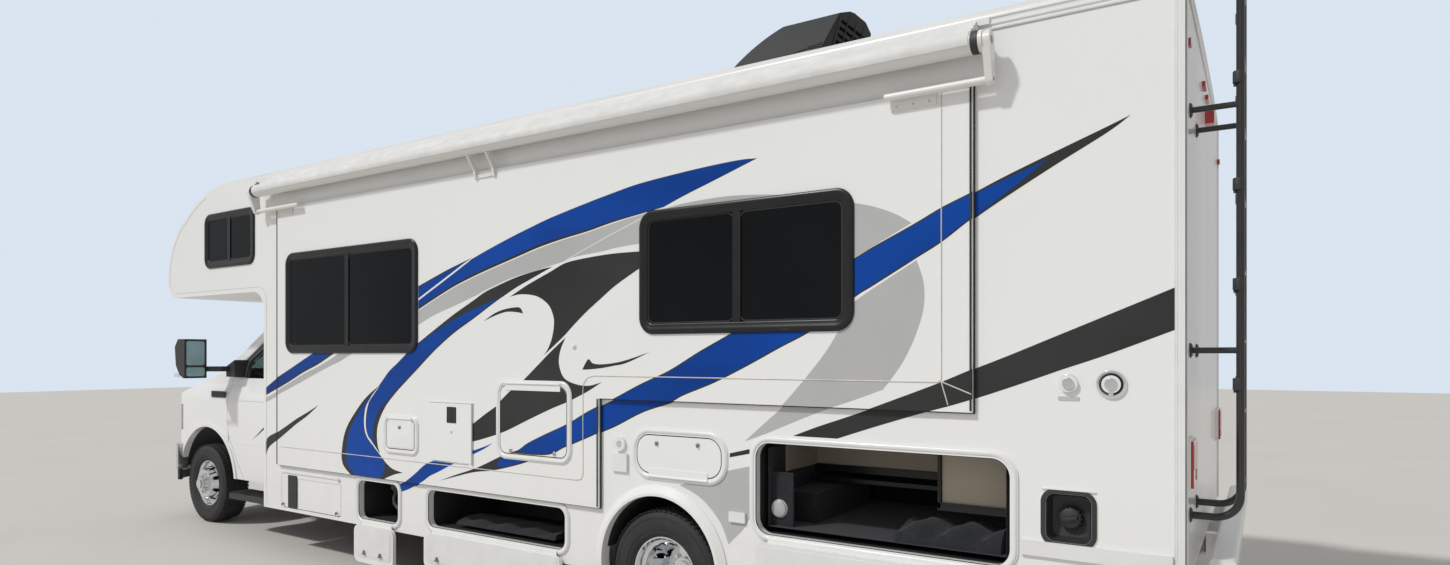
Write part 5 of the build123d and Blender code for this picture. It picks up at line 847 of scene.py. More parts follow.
# Fittings of the roller: end caps, ratchet and screws of the arms
caps, hubs, screws = Form(), Form(), Form()
for end, way in ((1585, -1), (7530, 1)):
    inward = (-way, 0, 0)
    caps.lathe(((0, 0), (20, 0), (24, -2), (24, -16), (49.5, -16), (49.5, -46), (48.2, -48)),
               at(end - way, ROLLER_Y, ROLLER_Z), inward, 28)
    face = end + way * 33.0
    hubs.lathe(((0, 0), (17, 0), (19, -1.5), (19, -4)), at(face, ROLLER_Y, ROLLER_Z), inward, 24)
    hubs.lathe(((0, 0), (8, 0), (9, -1), (9, -4)), at(face, SLIDE_FACE + 36, 2788), inward, 16)
    first, last = sorted((end - way * 54, end - way * 20))
    hubs.boxes((first, last, ROLLER_Y - 30, ROLLER_Y + 8, ROLLER_Z + 50, ROLLER_Z + 62),
               (first + 8, last - 8, ROLLER_Y - 20, ROLLER_Y, ROLLER_Z + 60, ROLLER_Z + 78))
make(caps, "roller_end_caps", "slide", "plastic")
make(hubs, "roller_hubs", "slide", "steel", 1.0)
for spots, z in (((1860, 1940, 2020, 7115, 7192.5, 7270), 2748), ((4256, 4378), 2766)):
    for s in spots:
        screws.lathe(((0, 3.2), (3, 2.8), (5.5, 1), (6, 0)), SLIDE_WALL(s, z, 8), LEFT, 10)
make(screws, "arm_screws", "slide", "metal", 0, 50)

# Mouldings of the coach: eave rail and rear corner, with sealant lines along them
EAVE_PROFILE = ((0.2, 3020), (7, 3022), (8, 3030), (4.5, 3033), (4.5, 3040), (9.5, 3043),
                (9.5, 3052), (6, 3056), (6, 3068), (11, 3072), (11, 3084), (7, 3090), (0.2, 3092))
mouldings, streaks = Form(), Form()
for place, corner_low in ((LEFT_WALL, 424), (RIGHT_WALL, 350)):
    mouldings.loft([[place(s, z, out) for out, z in EAVE_PROFILE] for s in (1570, 8262)])
    mouldings.plates(place, (8240, 8274, corner_low, 3060, 6, 3, 0.2, 7))
    streaks.plates(place, (8237.5, 8239.5, 430, 3015, 0.5, 1, 0.1, 0.9),
                   (8246.2, 8247.8, 430, 3015, 0.5, 1, 0.1, 7.4),
                   (1572, 8240, 3017, 3019.5, 0.5, 1, 0.1, 0.9),
                   (1574, 8236, 3053, 3055, 0.5, 1, 3, 6.8))
make(mouldings, "corner_mouldings", "coach", "trim", 1.2, 50)
make(streaks, "moulding_sealant", "coach", "sealant", 0, 0)

# Dark seals behind the slide room's flange
GROWN = [(1800, 2805), (7466, 2805), (7466, 1349), (5290, 1349), (5290, 710), (1800, 710)]
make(Form().loft([[LEFT_WALL(s, z, out) for s, z in outline] for outline, out in
                  ((SLIDE_OUTLINE, 5.2), (GROWN, 5.2), (GROWN, 12), (SLIDE_OUTLINE, 12))],
                 closed=True),
     "slide_flange_seal", "slide", "seal", 0, 0)

# Slide room: vent panel with its bar and grid, and two knobs
make(Form().plates(SLIDE_WALL, (3764, 4184, 892, 1284, 6, 3, 0.2, 3.0),
                   (3748, 4200, 1287, 1293, 2, 2, 0.2, 6.0)),
     "vent_panel", "slide", "skin", 0.8)
make(Form().plates(SLIDE_WALL, (4184, 4196, 884, 1290, 3, 3, 0.2, 9.0),
                   (3790, 4150, 884, 890, 2, 2, 0.2, 4.0)),
     "vent_panel_bar", "slide", "metal", 1.5, 50)
vent = Form().plates(SLIDE_WALL, (3936, 4030, 1152, 1260, 4, 3, 2.8, 4.4))
for low in (1158 + 12.4 * k for k in range(8)):
    vent.plates(SLIDE_WALL, (3943, 4023, low, low + 5.5, 1, 2, 4.2, 6.6))
for s in (3938.5, 3981, 4023):
    vent.plates(SLIDE_WALL, (s, s + 4.5, 1154, 1258, 1, 2, 4.2, 7.4))
make(vent, "vent_grid", "slide", "plastic", 0, 0)
knobs = Form().lathe(((0, 13), (7, 12.5), (11, 9), (12, 4), (17, 3), (17, 0.2)),
                     SLIDE_WALL(5095, 1658, 0), LEFT, 20)
knobs.lathe(((0, 9), (6, 8.6), (8, 5), (8, 0.2)), SLIDE_WALL(3980, 1096, 3), LEFT, 14)
make(knobs, "slide_knobs", "slide", "trim", 0, 50)

# Water hatch: low pyramid relief with a lock
hatch_face = side_place(1, SLIDE_FACE + DOOR_PROUD)
make(Form().loft([[hatch_face(s, z, out) for s, z in
                   rounded(3288 + inset, 3586 - inset, 952 + inset, 1133 - inset, 18, 4)]
                  for inset, out in ((0, 0.2), (3, 3.0), (14, 3.4), (72, 9.5))]),
     "water_hatch_relief", "water_hatch", "skin", 0, 20)
make(Form().lathe(((0, 8), (9, 7.5), (12, 5), (12, 0)), hatch_face(3437, 1098, 6), LEFT, 20),
     "water_hatch_lock", "water_hatch", "steel", 0, 45)

# Locks of the locker doors
LOCK_PROFILE = ((0, 9), (8, 8.6), (11, 6), (11, 0.1))
for name, tone, spots in (("wheel_door", "steel", ((5700, 1118), (5979, 1123))),
                          ("battery_door", "steel", ((1866, 402), (2616, 402))),
                          ("access_door", "metal", ((4560, 1012), (4940, 1012)))):
    place = side_place(1, DOORS[name][1] + DOOR_PROUD)
    form = Form()
    for s, z in spots:
        form.lathe(LOCK_PROFILE, place(s, z, 0), LEFT, 18)
        form.plates(place, (s - 3, s + 3, z - 15, z + 6, 2, 2, 5, 13))
    make(form, name + "_locks", name, tone, 0.8, 45)

# Insides of the hanging doors: liner pans and catches
CATCH = ((-16, 44), (16, 44), (16, 56), (4, 58), (4, 74), (-6, 74), (-6, 58), (-16, 56))
inner = side_place(1, HALF + 45.3)
for name, parts in (("service_door", (0.3, 0.7)), ("long_door", (0.12, 0.5, 0.88)),
                    ("trunk_door_left", (0.12, 0.5, 0.88))):
    front, rear, low, high = DOORS[name][2:6]
    top = low - 14
    bottom = top - (high - low - 12)
    make(Form().plates(inner, (front + 24, rear - 24, bottom + 22, top - 20, 46, 6, 0.2, 3.0),
                       (front + 40, rear - 40, bottom + 38, top - 36, 34, 6, 2.8, 5.2)),
         name + "_pan", name, "trim", 1.2)
    catches = Form()
    for s in (front + (rear - front) * part for part in parts):
        catches.plate([(s + u, bottom + v) for u, v in CATCH], 5, 17, inner)
    make(catches, name + "_catches", name, "steel", 1.0)

# Battery door: dark slotted panel; drip bars over the openings
battery_face = side_place(1, HALF + DOOR_PROUD)
slots = Form().plates(battery_face, (1940, 2068, 380, 640, 3, 2, 0.2, 1.2))
for low in range(392, 392 + 9 * 27, 27):
    slots.plates(battery_face, (1946, 2062, low, low + 12, 2, 2, 1.0, 3.2))
make(slots, "battery_door_slot", "battery_door", "plastic", 0, 0)
make(Form().plates(LEFT_WALL, (1850, 2655, 655, 662, 2, 2, 0.2, 11),
                   (3705, 5010, 712, 717, 2, 2, 0.2, 9), (7745, 7956, 1046, 1051, 2, 2, 0.2, 8)),
     "drip_bars", "coach", "trim", 1.0)

# Trunk: carpet, pale wood panels with dark edges, grey cap
make(Form().boxes((6372, 7583, -1180, 1195, 719.5, 723), (6372, 6375, -1100, 1190, 722, 1128),
                  (7580, 7583, -1100, 1190, 722, 1128), (6400, 7560, 180, 184, 722, 1000),
                  (6374, 6505, 1150, 1162, 723, 1000), (6374, 6560, 300, 1010, 723, 880)),
     "trunk_carpet", "coach", "carpet", 3.0)
make(Form().boxes((6376, 7240, 640, 648, 985, 1131), (7246, 7578, 1040, 1048, 905, 1131),
                  (6376, 6384, 300, 1010, 985, 1131)),
     "trunk_panels", "coach", "panel", 1.0)
make(Form().boxes((6376, 7240, 649, 662, 950, 990), (7228, 7244, 1040, 1062, 880, 1131),
                  (7228, 7578, 1049, 1062, 870, 908), (6380, 7578, 700, 730, 905, 930)),
     "trunk_edges", "coach", "frame", 1.5)
make(Form().lathe(((0, 15), (36, 15), (42, 11), (43, 2), (48, 0)), at(6424, 1162, 812), LEFT, 28),
     "trunk_cap", "coach", "silver")


# Rough bundle in the trunk
def heap(name, base, wave, along, across, stations, section):
    """Soft thing that lies on a floor, with a wavy top: share and lengths of the wave."""
    make(Form().loft([[at(s, y, base + z * (1 - wave + wave * math.sin(s / along + y / across)))
                       for y, z in section] for s in stations]),
         name, "coach", "carpet", 0, 60)


heap("trunk_bundle", 724, 0.25, 31.0, 70.0, range(7060, 7570, 17),
     ((1180, 0), (1165, 62), (1110, 96), (1020, 104), (930, 90), (880, 52), (870, 0)))

# Lockers: hose bend in the small one, folded mat in the long one
HOSE = ((3205, 1150, 640), (3200, 1160, 600), (3190, 1168, 560), (3200, 1172, 520),
        (3240, 1172, 490), (3290, 1166, 478), (3340, 1160, 474))
hose = Form().tube([at(*point) for point in HOSE], 13, 14)
hose.lathe(((0, 0), (34, 0), (38, 4), (38, 46), (30, 50), (20, 66), (0, 66)), at(3190, 1150, 672),
           (0, 0, -1), 24)
make(hose, "locker_hose", "coach", "tank", 0, 50)
heap("locker_mat", 452, 0.3, 40.0, 60.0, range(3900, 4840, 24),
     ((1185, 0), (1170, 34), (1090, 46), (980, 42), (900, 26), (880, 0)))

# Filler: black surround, cup and cap with a grip
FILLER = (7753, 7947, 822, 1038, 45)
FILLER_PROFILE = ((14, 0.2), (13, 4), (8, 6), (-6, 6), (-9, 2), (-9, -34), (-3, -34), (-3, 0.2))
make(Form().hoop(FILLER, FILLER_PROFILE, LEFT_WALL), "filler_surround", "coach", "plastic")
front, rear, low, high, radius = FILLER
cup_rings = [[LEFT_WALL(s, z, out)
              for s, z in rounded(front + inset, rear - inset, low + inset, high - inset,
                                  max(6, radius - inset), 8)]
             for inset, out in ((10, -2), (14, -30), (24, -58), (60, -66))]
cup = Form().loft(cup_rings, capped=False)
count = len(cup_rings[0])
cup.faces.append(tuple(3 * count + k for k in range(count)))
cup.loft([[point + Vector((0, 0.0015, 0)) for point in ring] for ring in cup_rings], capped=False)
make(cup, "filler_cup_liner", "coach", "liner")
grip_place = side_place(1, HALF - 84)
grip = Form().lathe(((0, 52), (38, 52), (43, 48), (45, 40), (45, 2)), grip_place(7850, 925, 0),
                    LEFT, 32)
grip.loft([[grip_place(7850 + u * shrink, 925 + v * shrink, out)
            for u, v in ((-33, -14), (33, 2), (33, 16), (-33, 0))]
           for out, shrink in ((51, 1.0), (66, 0.88))])
for angle in (math.radians(22.5 * k) for k in range(16)):
    spot = grip_place(7850 + 44.5 * math.cos(angle), 925 + 44.5 * math.sin(angle), 0)
    grip.lathe(((4, 4), (4, 46), (2, 48)), spot, LEFT, 8)
make(grip, "filler_grip", "coach", "plastic", 1.5)

# Seams of the coach box: up its front edge, under the bunk and along the nose
SEAM_START = [(1600, 380), (1600, 1900), (1600, 1980), (1592, 2100), (1550, 2160), (1470, 2178),
              (0, 2178)]
SEAM_INSET = 34
edge_lines = Form()
for side, word in SIDES:
    nose = []
    for z in range(2150, 3090, 20):
        hit = touch(word + "_wall", at(AHEAD, side * 1240, z), -FORWARD)
        if hit:
            nose.append((FRONT_AXLE_X - hit.x / MM, z))
    line = []
    for before, point, after in zip(nose, nose[1:], nose[2:]):
        along = (after[0] - before[0], after[1] - before[1])
        size = math.hypot(*along)
        line.append((point[0] + SEAM_INSET * along[1] / size,
                     point[1] - SEAM_INSET * along[0] / size))
    place = side_place(side, HALF)
    edge_lines.tube([place(s, z, 0.2) for s, z in SEAM_START + line[2:]], 1.8, 6)
make(edge_lines, "cap_seams", "coach", "sealant", 0, 60)
make(Form().plates(SLIDE_WALL, (1806, 1815, 722, 2796, 2, 2, 0.2, 2.6),
                   (5272, 5281, 722, 1352, 2, 2, 0.2, 2.6),
                   (7448, 7457, 1362, 2794, 2, 2, 0.2, 2.6)),
     "slide_edge_seals", "slide", "seal")

# Round inlets in bright metal, with black rings as painted shade in their recesses: station, height,
# steps, capped and profile
INLET_SHADE_RINGS = (
    (8013, 1490, 32, False, ((27, 3.5), (43, 3.5), (43, 6.5), (27, 6.5))),
    (7851, 1490, 28, False, ((25, 14.2), (27, 12.4), (33, 9.4), (33, 10.4), (27, 13.4))),
)
INLETS = (
    (7851, 1490, 36, True, ((0, 26), (20, 26), (23, 23), (24, 14), (26, 12), (34, 8), (37, 4),
                            (39, 0.2))),
    (8013, 1490, 40, False, ((36, 0.2), (56, 0.2), (58, 5), (54, 11), (46, 12), (44, 4), (38, 3))),
    (8013, 1490, 32, False, ((0, 22), (22, 22), (26, 18), (27, 9), (38, 4), (44, 3))),
    (5431, 1098, 30, True, ((0, 20), (16, 20), (20, 16), (21, 8), (30, 4), (33, 0.2))),
)
shade_rings, inlets = Form(), Form()
for form, rows in ((shade_rings, INLET_SHADE_RINGS), (inlets, INLETS)):
    for s, z, steps, capped, profile in rows:
        form.lathe(profile, LEFT_WALL(s, z, 0), LEFT, steps, capped)
# Black rings of painted shade in the inlets' recesses
make(shade_rings, "inlet_painted_shade_rings", "coach", "frame")

# Seams of the cloth left on the roller
roller_seams = Form()
reach = ROLLER_RADIUS + 0.2
for angle in (math.radians(12), math.radians(40)):
    y, z = ROLLER_Y + reach * math.cos(angle), ROLLER_Z + reach * math.sin(angle)
    roller_seams.tube([at(CLOTH_FRONT, y, z), at(CLOTH_REAR, y, z)], 0.9, 6)
make(roller_seams, "roller_seams", "slide", "sealant", 0, 60)

inlets.plates(LEFT_WALL, (7809, 7893, 1420, 1436, 4, 2, 0.2, 3), (8004, 8022, 1444, 1484, 5, 3, 3, 17))
make(inlets, "side_inlets", "coach", "chrome")


# Roof unit: ribs and seam on its side, slats' dividers at its rear, edge trim
def arc_circle(a, b, c):
    """Centre and radius of the circle through three points."""
    (ax, ay), (bx, by), (cx, cy) = a, b, c
    d = 2 * (ax * (by - cy) + bx * (cy - ay) + cx * (ay - by))
    x = ((ax ** 2 + ay ** 2) * (by - cy) + (bx ** 2 + by ** 2) * (cy - ay)
         + (cx ** 2 + cy ** 2) * (ay - by)) / d
    y = ((ax ** 2 + ay ** 2) * (cx - bx) + (bx ** 2 + by ** 2) * (ax - cx)
         + (cx ** 2 + cy ** 2) * (bx - ax)) / d
    return x, y, math.dist((x, y), a)


def unit_rear(z):
    """Station of the unit's leaning rear at a height."""
    return on_line(z, (3130, 6427), (3570, 6568))


def unit_side(z):
    """Width of the unit's leaning left side at a height."""
    return on_line(z, (3130, 877), (3515, 700))


SEAM_FOOT = (5885, 3228)
SEAM_TOP = (6475, 3340)
arc_s, arc_z, arc_radius = arc_circle((5820, 3160), (6035, 3425), (6398, 3570))
ribs = Form()
for z in (3160 + 13 * k for k in range(14)):
    first = max(arc_s - math.sqrt(arc_radius ** 2 - (z - arc_z) ** 2) + 8,
                on_line(z, SEAM_FOOT[::-1], SEAM_TOP[::-1]) + 12)
    last = unit_rear(z) - 12
    if last - first > 40:
        ribs.loft([[at(s, unit_side(z + dz) + out, z + dz)
                    for dz, out in ((0, 0.2), (0, 4.0), (5.5, 4.0), (5.5, 0.2))]
                   for s in (first, last)])
ribs.tube([at(s, unit_side(z) + 1.5, z) for s, z in (SEAM_FOOT, (6180, 3284), SEAM_TOP)], 3.5, 8)
for s in (5990, 6130, 6270, 6400):
    z = on_line(s, SEAM_FOOT, SEAM_TOP) - 18
    ribs.lathe(((0, 5), (5, 4.5), (7, 2), (7, 0)), at(s, unit_side(z), z), (0, 1, 0.46), 8)
for y, high in ((690, 3495), (590, 3530), (490, 3530), (390, 3530), (300, 3495)):
    ribs.loft([[at(unit_rear(z) + out, y + dy, z)
                for dy, out in ((-5, -10), (-5, 4), (5, 4), (5, -10))] for z in (3150, high)])
ribs.tube([at(unit_rear(z) + 1, unit_side(z) - 2, z) for z in (3140, 3250, 3380, 3508)], 6, 8)
make(ribs, "roof_unit_ribs", "coach", "unit")

# Roof vents' lids
lids = Form()
for s, y in ((3200, 0), (7400, -200)):
    lids.loft([[at(s + u * grow, y + v * grow, 3236 + lift)
                for u, v in ((-190, -190), (190, -190), (190, 190), (-190, 190))]
               for grow, lift in ((1.0, 0), (1.0, 12), (0.9, 26), (0.5, 32))])
    for way in (-80, 80):
        lids.tube([at(s - 150, y + way, 3264), at(s + 150, y + way, 3264)], 5, 8)
make(lids, "roof_vent_lids", "coach", "plastic", 3)

# Ladder: clamps on the rails, feet on the wall and ridged rungs
clamps, treads = Form(), Form()
for y in (700, 1060):
    for z in (1493, 1888, 2283, 2705, 3060):
        clamps.lathe(((15, -24), (20, -24), (21, -20), (21, 20), (20, 24), (15, 24)),
                     at(8444, y, z), (0, 0, 1), 20)
        clamps.boxes((8426, 8436, y - 8, y + 8, z - 34, z + 8))
    for z in (960, 1627, 2600):
        clamps.lathe(((0, 9), (22, 9), (30, 4), (31, 0.4)), at(8276, y, z), -FORWARD, 20)
make(clamps, "ladder_clamps", "coach", "plastic", 1.2, 45)
for z in range(1085, 1085 + 8 * 290, 290):
    treads.plates(MIDDLE, (8436, 8464, z + 11.5, z + 17.5, 2, 2, 728, 1032))
make(treads, "ladder_treads", "coach", "seal")

# Tail: lamp bezels, ridges, clear lenses and corner mouldings
bezels, ridges, clear = Form(), Form(), Form()
for side in (1, -1):
    middle = side * 1117.5
    bezels.hoop((middle - 115.5, middle + 115.5, 1080, 1278, 18),
                ((0, 0.3), (0, 10), (-4, 14), (-9, 14), (-9, 0.3)), TAIL)
    first, last = sorted((side * 1026, side * 1098))
    clear.plates(TAIL, (first, last, 1106, 1150, 8, 4, 23.5, 27))
    for z in range(1160, 1160 + 9 * 11, 11):
        ridges.plates(TAIL, (middle - 101.5, middle + 101.5, z, z + 5, 2, 1, 23.5, 25.8))
make(ridges, "tail_lamp_ridges", "coach", "red", 0.8)
make(bezels, "tail_lamp_bezels", "coach", "trim")
make(clear, "reverse_lenses", "coach", "lens", 1.5)
make(Form().plates(TAIL, (-1252, -1230, 700, 3060, 4, 3, 0.3, 6),
                   (1230, 1252, 700, 3060, 4, 3, 0.3, 6), (-1228, 1228, 3040, 3062, 4, 3, 0.3, 6)),
     "tail_mouldings", "coach", "trim", 1.5)

# Cab: mirror faces, fender vents, door handles, body lines and treads of the running boards
RIM_PROFILE = ((0, 0.2), (0, 7), (-8, 7), (-10, 0.2))
SIGNAL = ((196, 1402), (196, 1440), (300, 1436), (300, 1404))
for side, word in SIDES:
    door = "cab_door_" + word
    door_side = side_place(side, CAB_SIDE)
    mirror_place = cross_place(385, side)
    # Mirror faces in the blue-green finish, a painted sky reflection
    make(Form().plates(mirror_place, (1184, 1336, 1512, 1732, 18, 5, 0.4, 3.2),
                       (1184, 1336, 1412, 1494, 18, 5, 0.4, 3.2)),
         "mirror_face_" + word, door, "mirror", 0.8)
    rim = Form().hoop((1172, 1348, 1398, 1746, 26), RIM_PROFILE, mirror_place)
    make(rim.plates(mirror_place, (1182, 1338, 1498, 1508, 2, 2, 0.2, 6)),
         "mirror_rim_" + word, door, "plastic")
    make(Form().plate(SIGNAL, 0, 4, side_place(side, 1351.5)),
         "mirror_signal_" + word, door, "lens", 1)
    make(Form().plates(door_side, (455, 1484, 1187, 1193, 2.5, 2, 0.1, 1.8),
                       (560, 1484, 787, 793, 2.5, 2, 0.1, 1.8)),
         "door_lines_" + word, door, "cab", 0.8, 60)
    make(Form().plates(door_side, (1262, 1432, 1098, 1142, 20, 5, 0.2, 3.5),
                       (1272, 1422, 1110, 1130, 9, 5, 3.0, 17)),
         "door_handle_" + word, door, "plastic", 2, 45)
    vent = Form().plates(door_side, (135, 392, 1206, 1266, 8, 4, -2.0, 3.5))
    for s in range(150, 150 + 5 * 47, 47):
        vent.plates(door_side, (s, s + 36, 1216, 1256, 3, 2, 3.0, 5.5))
    make(vent, "fender_vent_" + word, "coach", "frame", 0.8)
    low_y, high_y = sorted((side * 925, side * 1100))
    boards = Form().boxes(*((s, s + 26, low_y, high_y, 360.8, 364.5)
                            for s in range(720, 720 + 16 * 50, 50)))
    make(boards, "board_treads_" + word, "coach", "seal", 0.8)

DOOR_STRIPE = [(872, 836), (966, 892), (1070, 959), (1240, 1066), (1240, 1030), (1070, 939),
               (966, 883)]
for side, word in SIDES:
    film("cab_door_stripe_" + word, [DOOR_STRIPE], [(440, 500), (1496, 500), (1496, 1300), (440, 1300)],
         [], side_place(side, CAB_SIDE), "cab_door_" + word, ("dark", 0.1, 0.6))

# Mirror sails: black trim from the mirror's foot up along the door window's front edge
SAIL_OUTER = ((450, 1397), (450, 1420), (487, 1489), (700, 1628), (900, 1759), (1100, 1889))
SAIL_INNER = ((639, 1397), (639, 1450), (639, 1536), (759, 1614), (929, 1724), (1129, 1853))
SAIL_FOLD = (3, -2)
SAIL_ACROSS = 6
SAIL_ALONG = 5


def between(first, second, part):
    """Point at a part of the way from one to another."""
    return tuple(a + (b - a) * part for a, b in zip(first, second))


def polyline_steps(line, steps):
    """Points along a polyline, so many to each of its lengths."""
    points = [between(a, b, k / steps) for a, b in zip(line, line[1:]) for k in range(steps)]
    return points + [line[-1]]


for side, word in SIDES:
    loops = []
    for outer, inner in zip(polyline_steps(SAIL_OUTER, SAIL_ALONG),
                            polyline_steps(SAIL_INNER, SAIL_ALONG)):
        row = []
        spots = [("cab_door_", between(outer, inner, k / SAIL_ACROSS))
                 for k in range(SAIL_ACROSS + 1)]
        spots.append(("door_glass_", (inner[0] + SAIL_FOLD[0], inner[1] + SAIL_FOLD[1])))
        for node, (s, z) in spots:
            hit = touch(node + word, at(s, side * 1100, z), Vector((0, -side, 0)))
            row.append((s, z, abs(hit.y) / MM if hit else row[-1][2]))
        loops.append([at(s, side * (reach + 3.2), z) for s, z, reach in row]
                     + [at(s, side * (reach + 0.3), z) for s, z, reach in row[::-1]])
    make(Form().loft(loops), "mirror_sail_" + word, "cab_door_" + word, "plastic", 0, 50)

# Wheel houses: dark liners over the arch and its inner wall, as (station, height, radius,
# lower edge, lower edge of the inner wall, inner and outer width)
LINER_ARCHES = {"front": (50.0, 395.0, 525.0, 508.0, 694.0, 569.5, 960.0),
                "rear": (REAR_AXLE, ARCH_HEIGHT, 400.0, 489.0, 489.0, 709.5, 1240.0)}
LINER_STEPS = 40


def arch_points(middle, height, radius, low):
    """Points of an arch above a height, from rear to front."""
    first = math.asin((low - height) / radius)
    angles = [first + (math.pi - 2 * first) * k / LINER_STEPS for k in range(LINER_STEPS + 1)]
    return [(middle + radius * math.cos(a), height + radius * math.sin(a)) for a in angles]


for end, (middle, height, radius, low, wall_low, inner_y, outer_y) in LINER_ARCHES.items():
    liners = Form()
    over_line = arch_points(middle, height, radius - 1.0, low)
    under_line = arch_points(middle, height, radius - 3.0, low)
    wall = arch_points(middle, height, radius - 4.0, wall_low)
    for side in (1, -1):
        place = side_place(side, 0)
        liners.loft([[place(*spot, y) for spot, y in ((over, inner_y), (over, outer_y),
                                                      (under, outer_y), (under, inner_y))]
                     for over, under in zip(over_line, under_line)])
        liners.plate(wall, inner_y, inner_y + 2, place)
    make(liners, "wheel_house_liners_" + end, "coach", "liner", 0, 50)

# Rear ends of the front bumper
bumper_ends = Form()
for side in (1, -1):
    bumper_ends.plates(cross_place(0, side), (958, 1050, 483, 727, 16, 5, -439.8, -436.5))
make(bumper_ends, "bumper_ends", "coach", "metal", 1.2)

# Wipers on the windscreen, resting along its lower edge
wipers = Form()
for first, last in ((-620, -60), (30, 590)):
    blade = []
    for k in range(9):
        y = first + (last - first) * k / 8
        hit = touch("windscreen", at(AHEAD, y, 1560 + 0.05 * (y - first)), -FORWARD)
        if hit:
            blade.append(hit + Vector((0.012, 0, 0.006)))
    if len(blade) > 3:
        wipers.tube(blade, 6, 8)
        wipers.tube([blade[0] + Vector((0.03, 0, -0.05)), blade[3] + Vector((0.012, 0, 0.012))],
                    7, 8)
make(wipers, "wipers", "coach", "plastic", 0, 50)

# Marker lamps on the bunk's nose and chrome rings in the head lamps
LAMP = ((-0.055, -0.013), (0.055, -0.013), (0.055, 0.013), (-0.055, 0.013))
markers = Form()
for y in (-950, -160, 0, 160, 950):
    hit = touch("front_cap", at(AHEAD, y, 2890), -FORWARD)
    if hit:
        lean = (touch("front_cap", at(AHEAD, y, 2915), -FORWARD) - hit).normalized()
        out = lean.cross(Vector(LEFT))
        out = out if out.x > 0 else -out
        markers.loft([[hit + lean * v * grow + Vector((0, u * grow, 0)) + out * height
                       for u, v in LAMP]
                      for grow, height in ((1.0, 0.0005), (1.0, 0.012), (0.8, 0.020))])
make(markers, "marker_lamps", "coach", "amber", 2)
bowls = Form()
for side in (1, -1):
    for y, radius in ((640, 78), (830, 66)):
        hit = touch("head_lamps", at(AHEAD, side * y, 1000), -FORWARD)
        if hit:
            axis = (1, side * 0.12, 0.1)
            bowls.lathe(((radius - 6, 1.5), (radius, 1.5), (radius, 5), (radius - 6, 5)), hit,
                        axis, 32, capped=False)
            bowls.lathe(((0, 8), (18, 7), (26, 2), (26, 0.5)), hit, axis, 24)
make(bowls, "lamp_rings", "coach", "chrome")

# Padded seats over the seat blocks of the cab: side line, and its growth at each width
SEAT_LINE = ((790, 1022), (785, 1090), (800, 1150), (880, 1168), (1040, 1150), (1180, 1130),
             (1215, 1190), (1240, 1330), (1275, 1500), (1308, 1640), (1330, 1700), (1342, 1730),
             (1330, 1780), (1350, 1812), (1420, 1816), (1462, 1790), (1460, 1700), (1430, 1560),
             (1395, 1360), (1362, 1180), (1340, 1040), (1280, 1012), (1000, 1008), (840, 1008))
SEAT_EDGE = ((262, 0.90), (256, 0.965), (236, 0.995), (170, 1.0), (164, 0.985), (158, 1.0))
SEAT_ENDS = [(-y, grow) for y, grow in SEAT_EDGE] + [(0, 1.008)] + list(SEAT_EDGE[::-1])
middle_s, middle_z = (sum(line) / len(line) for line in zip(*SEAT_LINE))
for side, word in SIDES:
    seat = Form().loft([[at(middle_s + (s - middle_s) * grow, side * 450 + y,
                            middle_z + (z - middle_z) * grow) for s, z in SEAT_LINE]
                        for y, grow in SEAT_ENDS])
    piece = make(seat, "seat_" + word, "coach", "cloth", 0, 60, levels=1)

# Right side: stripes mirrored from the left, joined where the slide room was
RIGHT_PICK = {"silver": (1,), "dark": (1, 2, 3, 4, 7, 9, 12), "blue": (1, 2, 3, 4, 5, 6, 7),
              "white_vinyl": (1,)}
RIGHT_JOINS = {
    "silver": [[(3632, 1914), (3632, 1816), (2870, 1622), (2690, 1622)]],
    "dark": [[(3640, 2087), (3640, 1922), (2622, 1622), (2340, 1622)]],
    "blue": [[(3640, 2078), (3640, 1934), (2582, 1622), (2352, 1622)]],
    "white_vinyl": [],
}
ENTRY_FACE = side_place(-1, 1257.9)
right_holes = [door_outline("trunk_door_right"), door_outline("gas_door"),
               rounded(4448, 5172, 668, 2592, 100), rounded(2345, 3455, 1715, 2405, 95),
               rounded(6495, 7255, 1715, 2405, 95), rounded(2226, 2284, 1250, 2800, 3, 1),
               rounded(7316, 7374, 1250, 2800, 3, 1), arch,
               [(4450, 300), (5150, 300), (5150, 700), (4450, 700)]]
for layer in LAYERS:
    tone = layer[0]
    shapes = [outline_of(STRIPES[tone][k]) for k in RIGHT_PICK[tone]] + RIGHT_JOINS[tone]
    film("entry_door_stripes_" + tone, shapes, rounded(4478, 5142, 698, 2562, 76), [], ENTRY_FACE,
         "entry_door", layer)
    shapes += [outline_of(runs) for runs in WALL_STRIPES.get(tone, ())]
    film("right_stripes_" + tone, shapes, WALL_OUTLINE, right_holes, RIGHT_WALL, "coach",
         layer)

# Right side: entry door's window and handle, grab handle, vents, porch lamp and locks
door_frame = Form().hoop((4640, 4990, 1760, 2330, 60),
                         ((0, 0.2), (0, 6), (-4, 10), (-16, 10), (-18, 0.2)), ENTRY_FACE)
make(door_frame.plates(ENTRY_FACE, (5058, 5122, 1440, 1600, 12, 4, 0.2, 9),
                       (5066, 5114, 1490, 1540, 8, 4, 8, 22)),
     "entry_door_frame", "entry_door", "frame", 0.8, 45)
# Opaque dark pane: the glass's tint, with the shaded inside painted in
make(Form().plates(ENTRY_FACE, (4656, 4974, 1776, 2314, 46, 6, 0.3, 4)),
     "entry_door_pane", "entry_door", "glass", 0, 45)
GRAB = ((1330, 2), (1330, 52), (1350, 60), (1780, 60), (1800, 52), (1800, 2))
make(Form().tube([RIGHT_WALL(5260, z, out) for z, out in GRAB], 12, 14),
     "grab_handle", "coach", "metal", 0, 50)
appliance = Form()
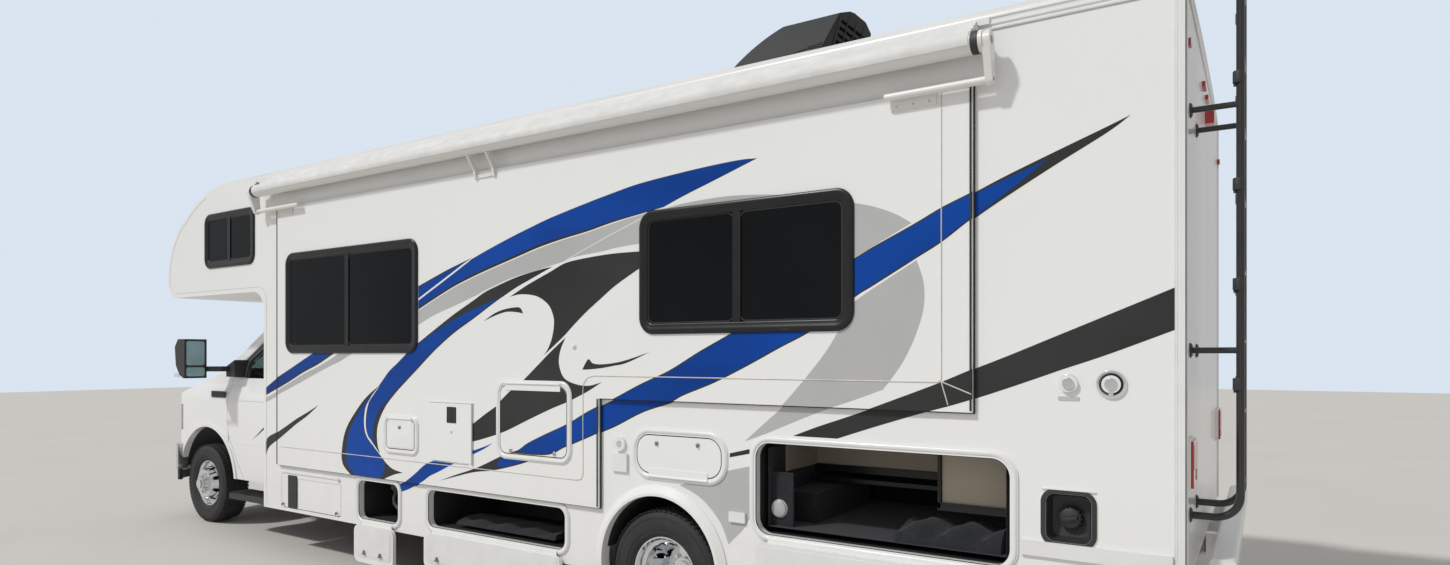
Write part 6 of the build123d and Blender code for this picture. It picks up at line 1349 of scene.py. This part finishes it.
for low, high, rows in ((1010, 1400, 13), (1900, 2150, 7)):
    appliance.plates(RIGHT_WALL, (3640, 4240, low, high, 26, 5, 0.2, 7))
    for z in range(low + 36, low + 36 + 24 * rows, 24):
        appliance.loft([[RIGHT_WALL(s, z + dz, out)
                         for dz, out in ((0, 6.5), (0, 15), (4, 15), (15, 6.5))]
                        for s in (3674, 4206)])
make(appliance, "appliance_vents", "coach", "trim", 0.8)
make(Form().plates(RIGHT_WALL, (4740, 4880, 2660, 2740, 14, 5, 0.3, 26)),
     "porch_lamp", "coach", "lens", 4, 45)
for s, z, name in ((6560, 1120, "trunk_door_right"), (7395, 1120, "trunk_door_right"),
                   (2420, 648, "gas_door"), (2880, 648, "gas_door")):
    make(Form().lathe(LOCK_PROFILE, RIGHT_WALL(s, z, DOOR_PROUD), (0, -1, 0), 18),
         f"{name}_lock_{s}", name, "steel", 0, 45)

# Floor, world and sun
floor_mesh = bpy.data.meshes.new("floor")
floor_mesh.from_pydata([(-40, -40, -0.002), (40, -40, -0.002), (40, 40, -0.002),
                        (-40, 40, -0.002)], [], [(0, 1, 2, 3)])
floor = bpy.data.objects.new("floor", floor_mesh)
scene.collection.objects.link(floor)
floor_mesh.materials.append(finish("floor_paint", (0.62, 0.59, 0.55), rough=0.8, vary=0.02,
                                   scale=0.6))

world = bpy.data.worlds.new("world")
scene.world = world
world.use_nodes = True
tree = world.node_tree
tree.nodes.clear()
light = shade(tree, "Background", (("Color", (0.96, 0.98, 1.0, 1.0)), ("Strength", 0.5)))
seen = shade(tree, "Background", (("Color", (0.70, 0.78, 0.88, 1.0)), ("Strength", 1.0)))
path = shade(tree, "LightPath").outputs
most = shade(tree, "Math", (), ((0, path["Is Camera Ray"]), (1, path["Is Transmission Ray"])),
             operation="MAXIMUM")
mix = shade(tree, "MixShader", (), (("Fac", most.outputs["Value"]),
                                    (1, light.outputs["Background"]),
                                    (2, seen.outputs["Background"])))
shade(tree, "OutputWorld", (), (("Surface", mix.outputs["Shader"]),))

sun_data = bpy.data.lights.new("sun", "SUN")
sun_data.energy = 1.95
sun_data.angle = math.radians(4)
sun = bpy.data.objects.new("sun", sun_data)
sun.rotation_euler = Vector((0.42, 0.62, 0.80)).to_track_quat("Z", "Y").to_euler()
scene.collection.objects.link(sun)

scene.view_settings.view_transform = "Standard"
